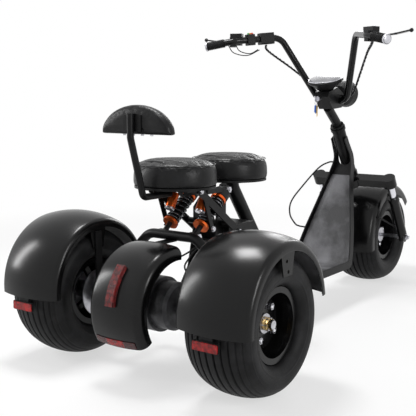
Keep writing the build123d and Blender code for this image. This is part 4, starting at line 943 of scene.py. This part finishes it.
def hoop(centre, radius, side, up, count):
    """A closed ring of points in the plane of two directions."""
    centre, side, up = (np.asarray(v, float) for v in (centre, side, up))
    turn = np.linspace(0, 2 * math.pi, count)[:, None]
    return centre + radius * (np.cos(turn) * side + np.sin(turn) * up)


bezel = hoop(GAUGE_CENTRE, BEZEL_R, *basis(gauge_axis), 97) + BEZEL_UP * unit(gauge_axis)
piece("gauge_bezel", rod(bezel, 2.2, 10), "steering", chrome)

# %% [markdown]
# The left cluster's buttons stand in a row on its pod. Under the gauge hang a key ring,
# a fob and a spare key, each a flat plate cut to its outline.

# %% Buttons and keys
BAR_BEND, BAR_SPAN = np.array([-176, 1057, 1136]), np.array([-126, -167, -20])
POD_SHARE, POD_TOP, BUTTON_STEP = 0.66, 22.8, 9
BUTTONS = (("red", -1, button_red), ("amber", 0, button_amber), ("green", 1, button_green))
for label, place_in_row, material in BUTTONS:
    along_pod = unit(BAR_SPAN) * BUTTON_STEP * place_in_row
    spot = BAR_BEND + BAR_SPAN * POD_SHARE + along_pod + (0, 0, POD_TOP)
    button = turned([(4.3, 0), (4.3, 5), (3.4, 6.4), (0.1, 6.8)], spot, (0, 0, 1), 20)
    piece(f"button_{label}", button, "steering", material)
ring = hoop((-12, 1080, 858), 9, (0, 1, 0), (0, 0, 1), 41)
piece("key_ring", rod(ring, 1.1, 8), "steering", zinc)
fob = slab([(-12, 1072, 848), (-12, 1088, 848), (-12, 1090, 822), (-12, 1080, 814), (-12, 1070, 822)],
           (5, 0, 0))
piece("key_fob", fob, "steering", fob_blue)
spare = slab([(-6, 1076, 848), (-6, 1086, 848), (-6, 1084, 806), (-6, 1078, 800)], (1.8, 0, 0))
piece("spare_key", spare, "steering", brass)

# %% [markdown]
# Small hardware sells the size: plated bolts at the joints of the rear frame, hoses over
# the shocks, and brass fittings at the brakes. Like pieces are joined so that each set
# is one object.

# %% Bolts, hoses and fittings of the chassis
# X of the face, width across the flats, height of the head, and the places (Y, Z)
FRAME_BOLTS = ((98.4, 15, 7, ((106, 583), (328, 423), (172, 452))),
               (50.7, 13, 6, ((250, 330), (276, 480), (215, 170))))
frame_bolts = [hex_bolt((s * x, y, z), (s, 0, 0), across, height)
               for x, across, height, spots in FRAME_BOLTS for s in (-1, 1) for y, z in spots]
piece("frame_bolts", joined(frame_bolts), "chassis", zinc)
board_screws = [hex_bolt((x, 760, 160.6), (0, 0, 1), 9, 3) for x in (-118, 118)]
piece("board_screws", joined(board_screws), "chassis", zinc)
high_hose = smooth_line([(-46, 232, 575), (-28, 236, 586), (0, 238, 578), (26, 244, 580), (44, 250, 568)], 50)
low_hose = smooth_line([(0, 240, 380), (18, 150, 350), (60, 70, 330), (150, 30, 300), (232, 22, 292)], 80)
piece("shock_hose", rod(high_hose, 4.0), "chassis", plastic, (), 60)
piece("brake_lines", mirrored(rod(low_hose, 3.0)), "chassis", plastic, (), 60)
union = hex_bolt((236, 22, 292), (1, 0, 0), 12, 10)
sleeve = turned([(4, 0), (4, 12), (0.1, 12)], (222, 24, 293), (1, 0, 0), 16)
piece("brake_fittings", mirrored(joined([union, sleeve])), "chassis", brass)

# %% [markdown]
# The bar has its own: a silver cap on each grip, pins at the levers, screws on the
# cylinders' lids, and two thin wires from the left cluster.

# %% Caps, pins, screws and wires of the bar
end_cap = turned([(17, 0.5), (19.4, 2), (19.4, 7), (15, 9.4), (0.1, 9.4)], BAR_END, grip_way, 32)
piece("grip_caps", mirrored(end_cap), "steering", zinc)
pins = [hex_bolt((327, 926, 1127), (0, 0, 1), 9, 4), hex_bolt((396, 930, 1121), (0, 0, 1), 8, 3)]
piece("lever_pins", mirrored(joined(pins)), "steering", zinc)
lid_screws = [hex_bolt((x, y, 1147.6), (0, 0, 1), 6, 3) for x, y in ((290, 921), (322, 909))]
piece("lid_screws", mirrored(joined(lid_screws)), "steering", zinc)
bar_wires = [smooth_line([(-302, 902, 1100), (-292, 918, 1076), (-262, 950, 1066), (-240, 980, 1084)], 50),
             smooth_line([(-330, 888, 1098), (-310, 900, 1068), (-268, 938, 1058), (-236, 984, 1082)], 50)]
piece("bar_wires", joined([rod(line, 2.0, 8) for line in bar_wires]), "steering", plastic, (), 60)

# %% [markdown]
# Everything else keeps its own solid, whose shape is already right, and takes a finish.

# %% Finishes for the solids that stay
DRESS = (
    (gloss_black, ("front_rim", "rear_rim_left", "rear_rim_right", "yoke", "fork_sliders", "handlebar",
                   "brake_levers")),
    (black_steel, ("main_frame", "footboard", "seat_tube", "rear_plates", "seat_struts", "seat_pans",
                   "backrest_post", "swing_arm", "rear_hoop", "guard_brackets", "steering_stem",
                   "guard_stays")),
    (plastic, ("battery_box", "shock_dampers", "master_cylinders", "switch_pods", "headlamp")),
    (zinc, ("front_hub", "rear_hub_left", "rear_hub_right", "front_axle", "shock_bolts", "ignition_key")),
    (cast_dark, ("rear_axle", "rear_calipers")),
    (orange, ("shock_collars", "shock_canisters")),
    (chrome, ("fork_tubes",)),
    (mat_rubber, ("foot_mat",)),
    (lamp_red, ("tail_lamp",)),
    (lens_clear, ("headlamp_lens",)),
)
for material, nodes in DRESS:
    for node in nodes:
        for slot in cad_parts[node].material_slots:
            slot.material = material
print("solids dressed:", sum(len(nodes) for _, nodes in DRESS))
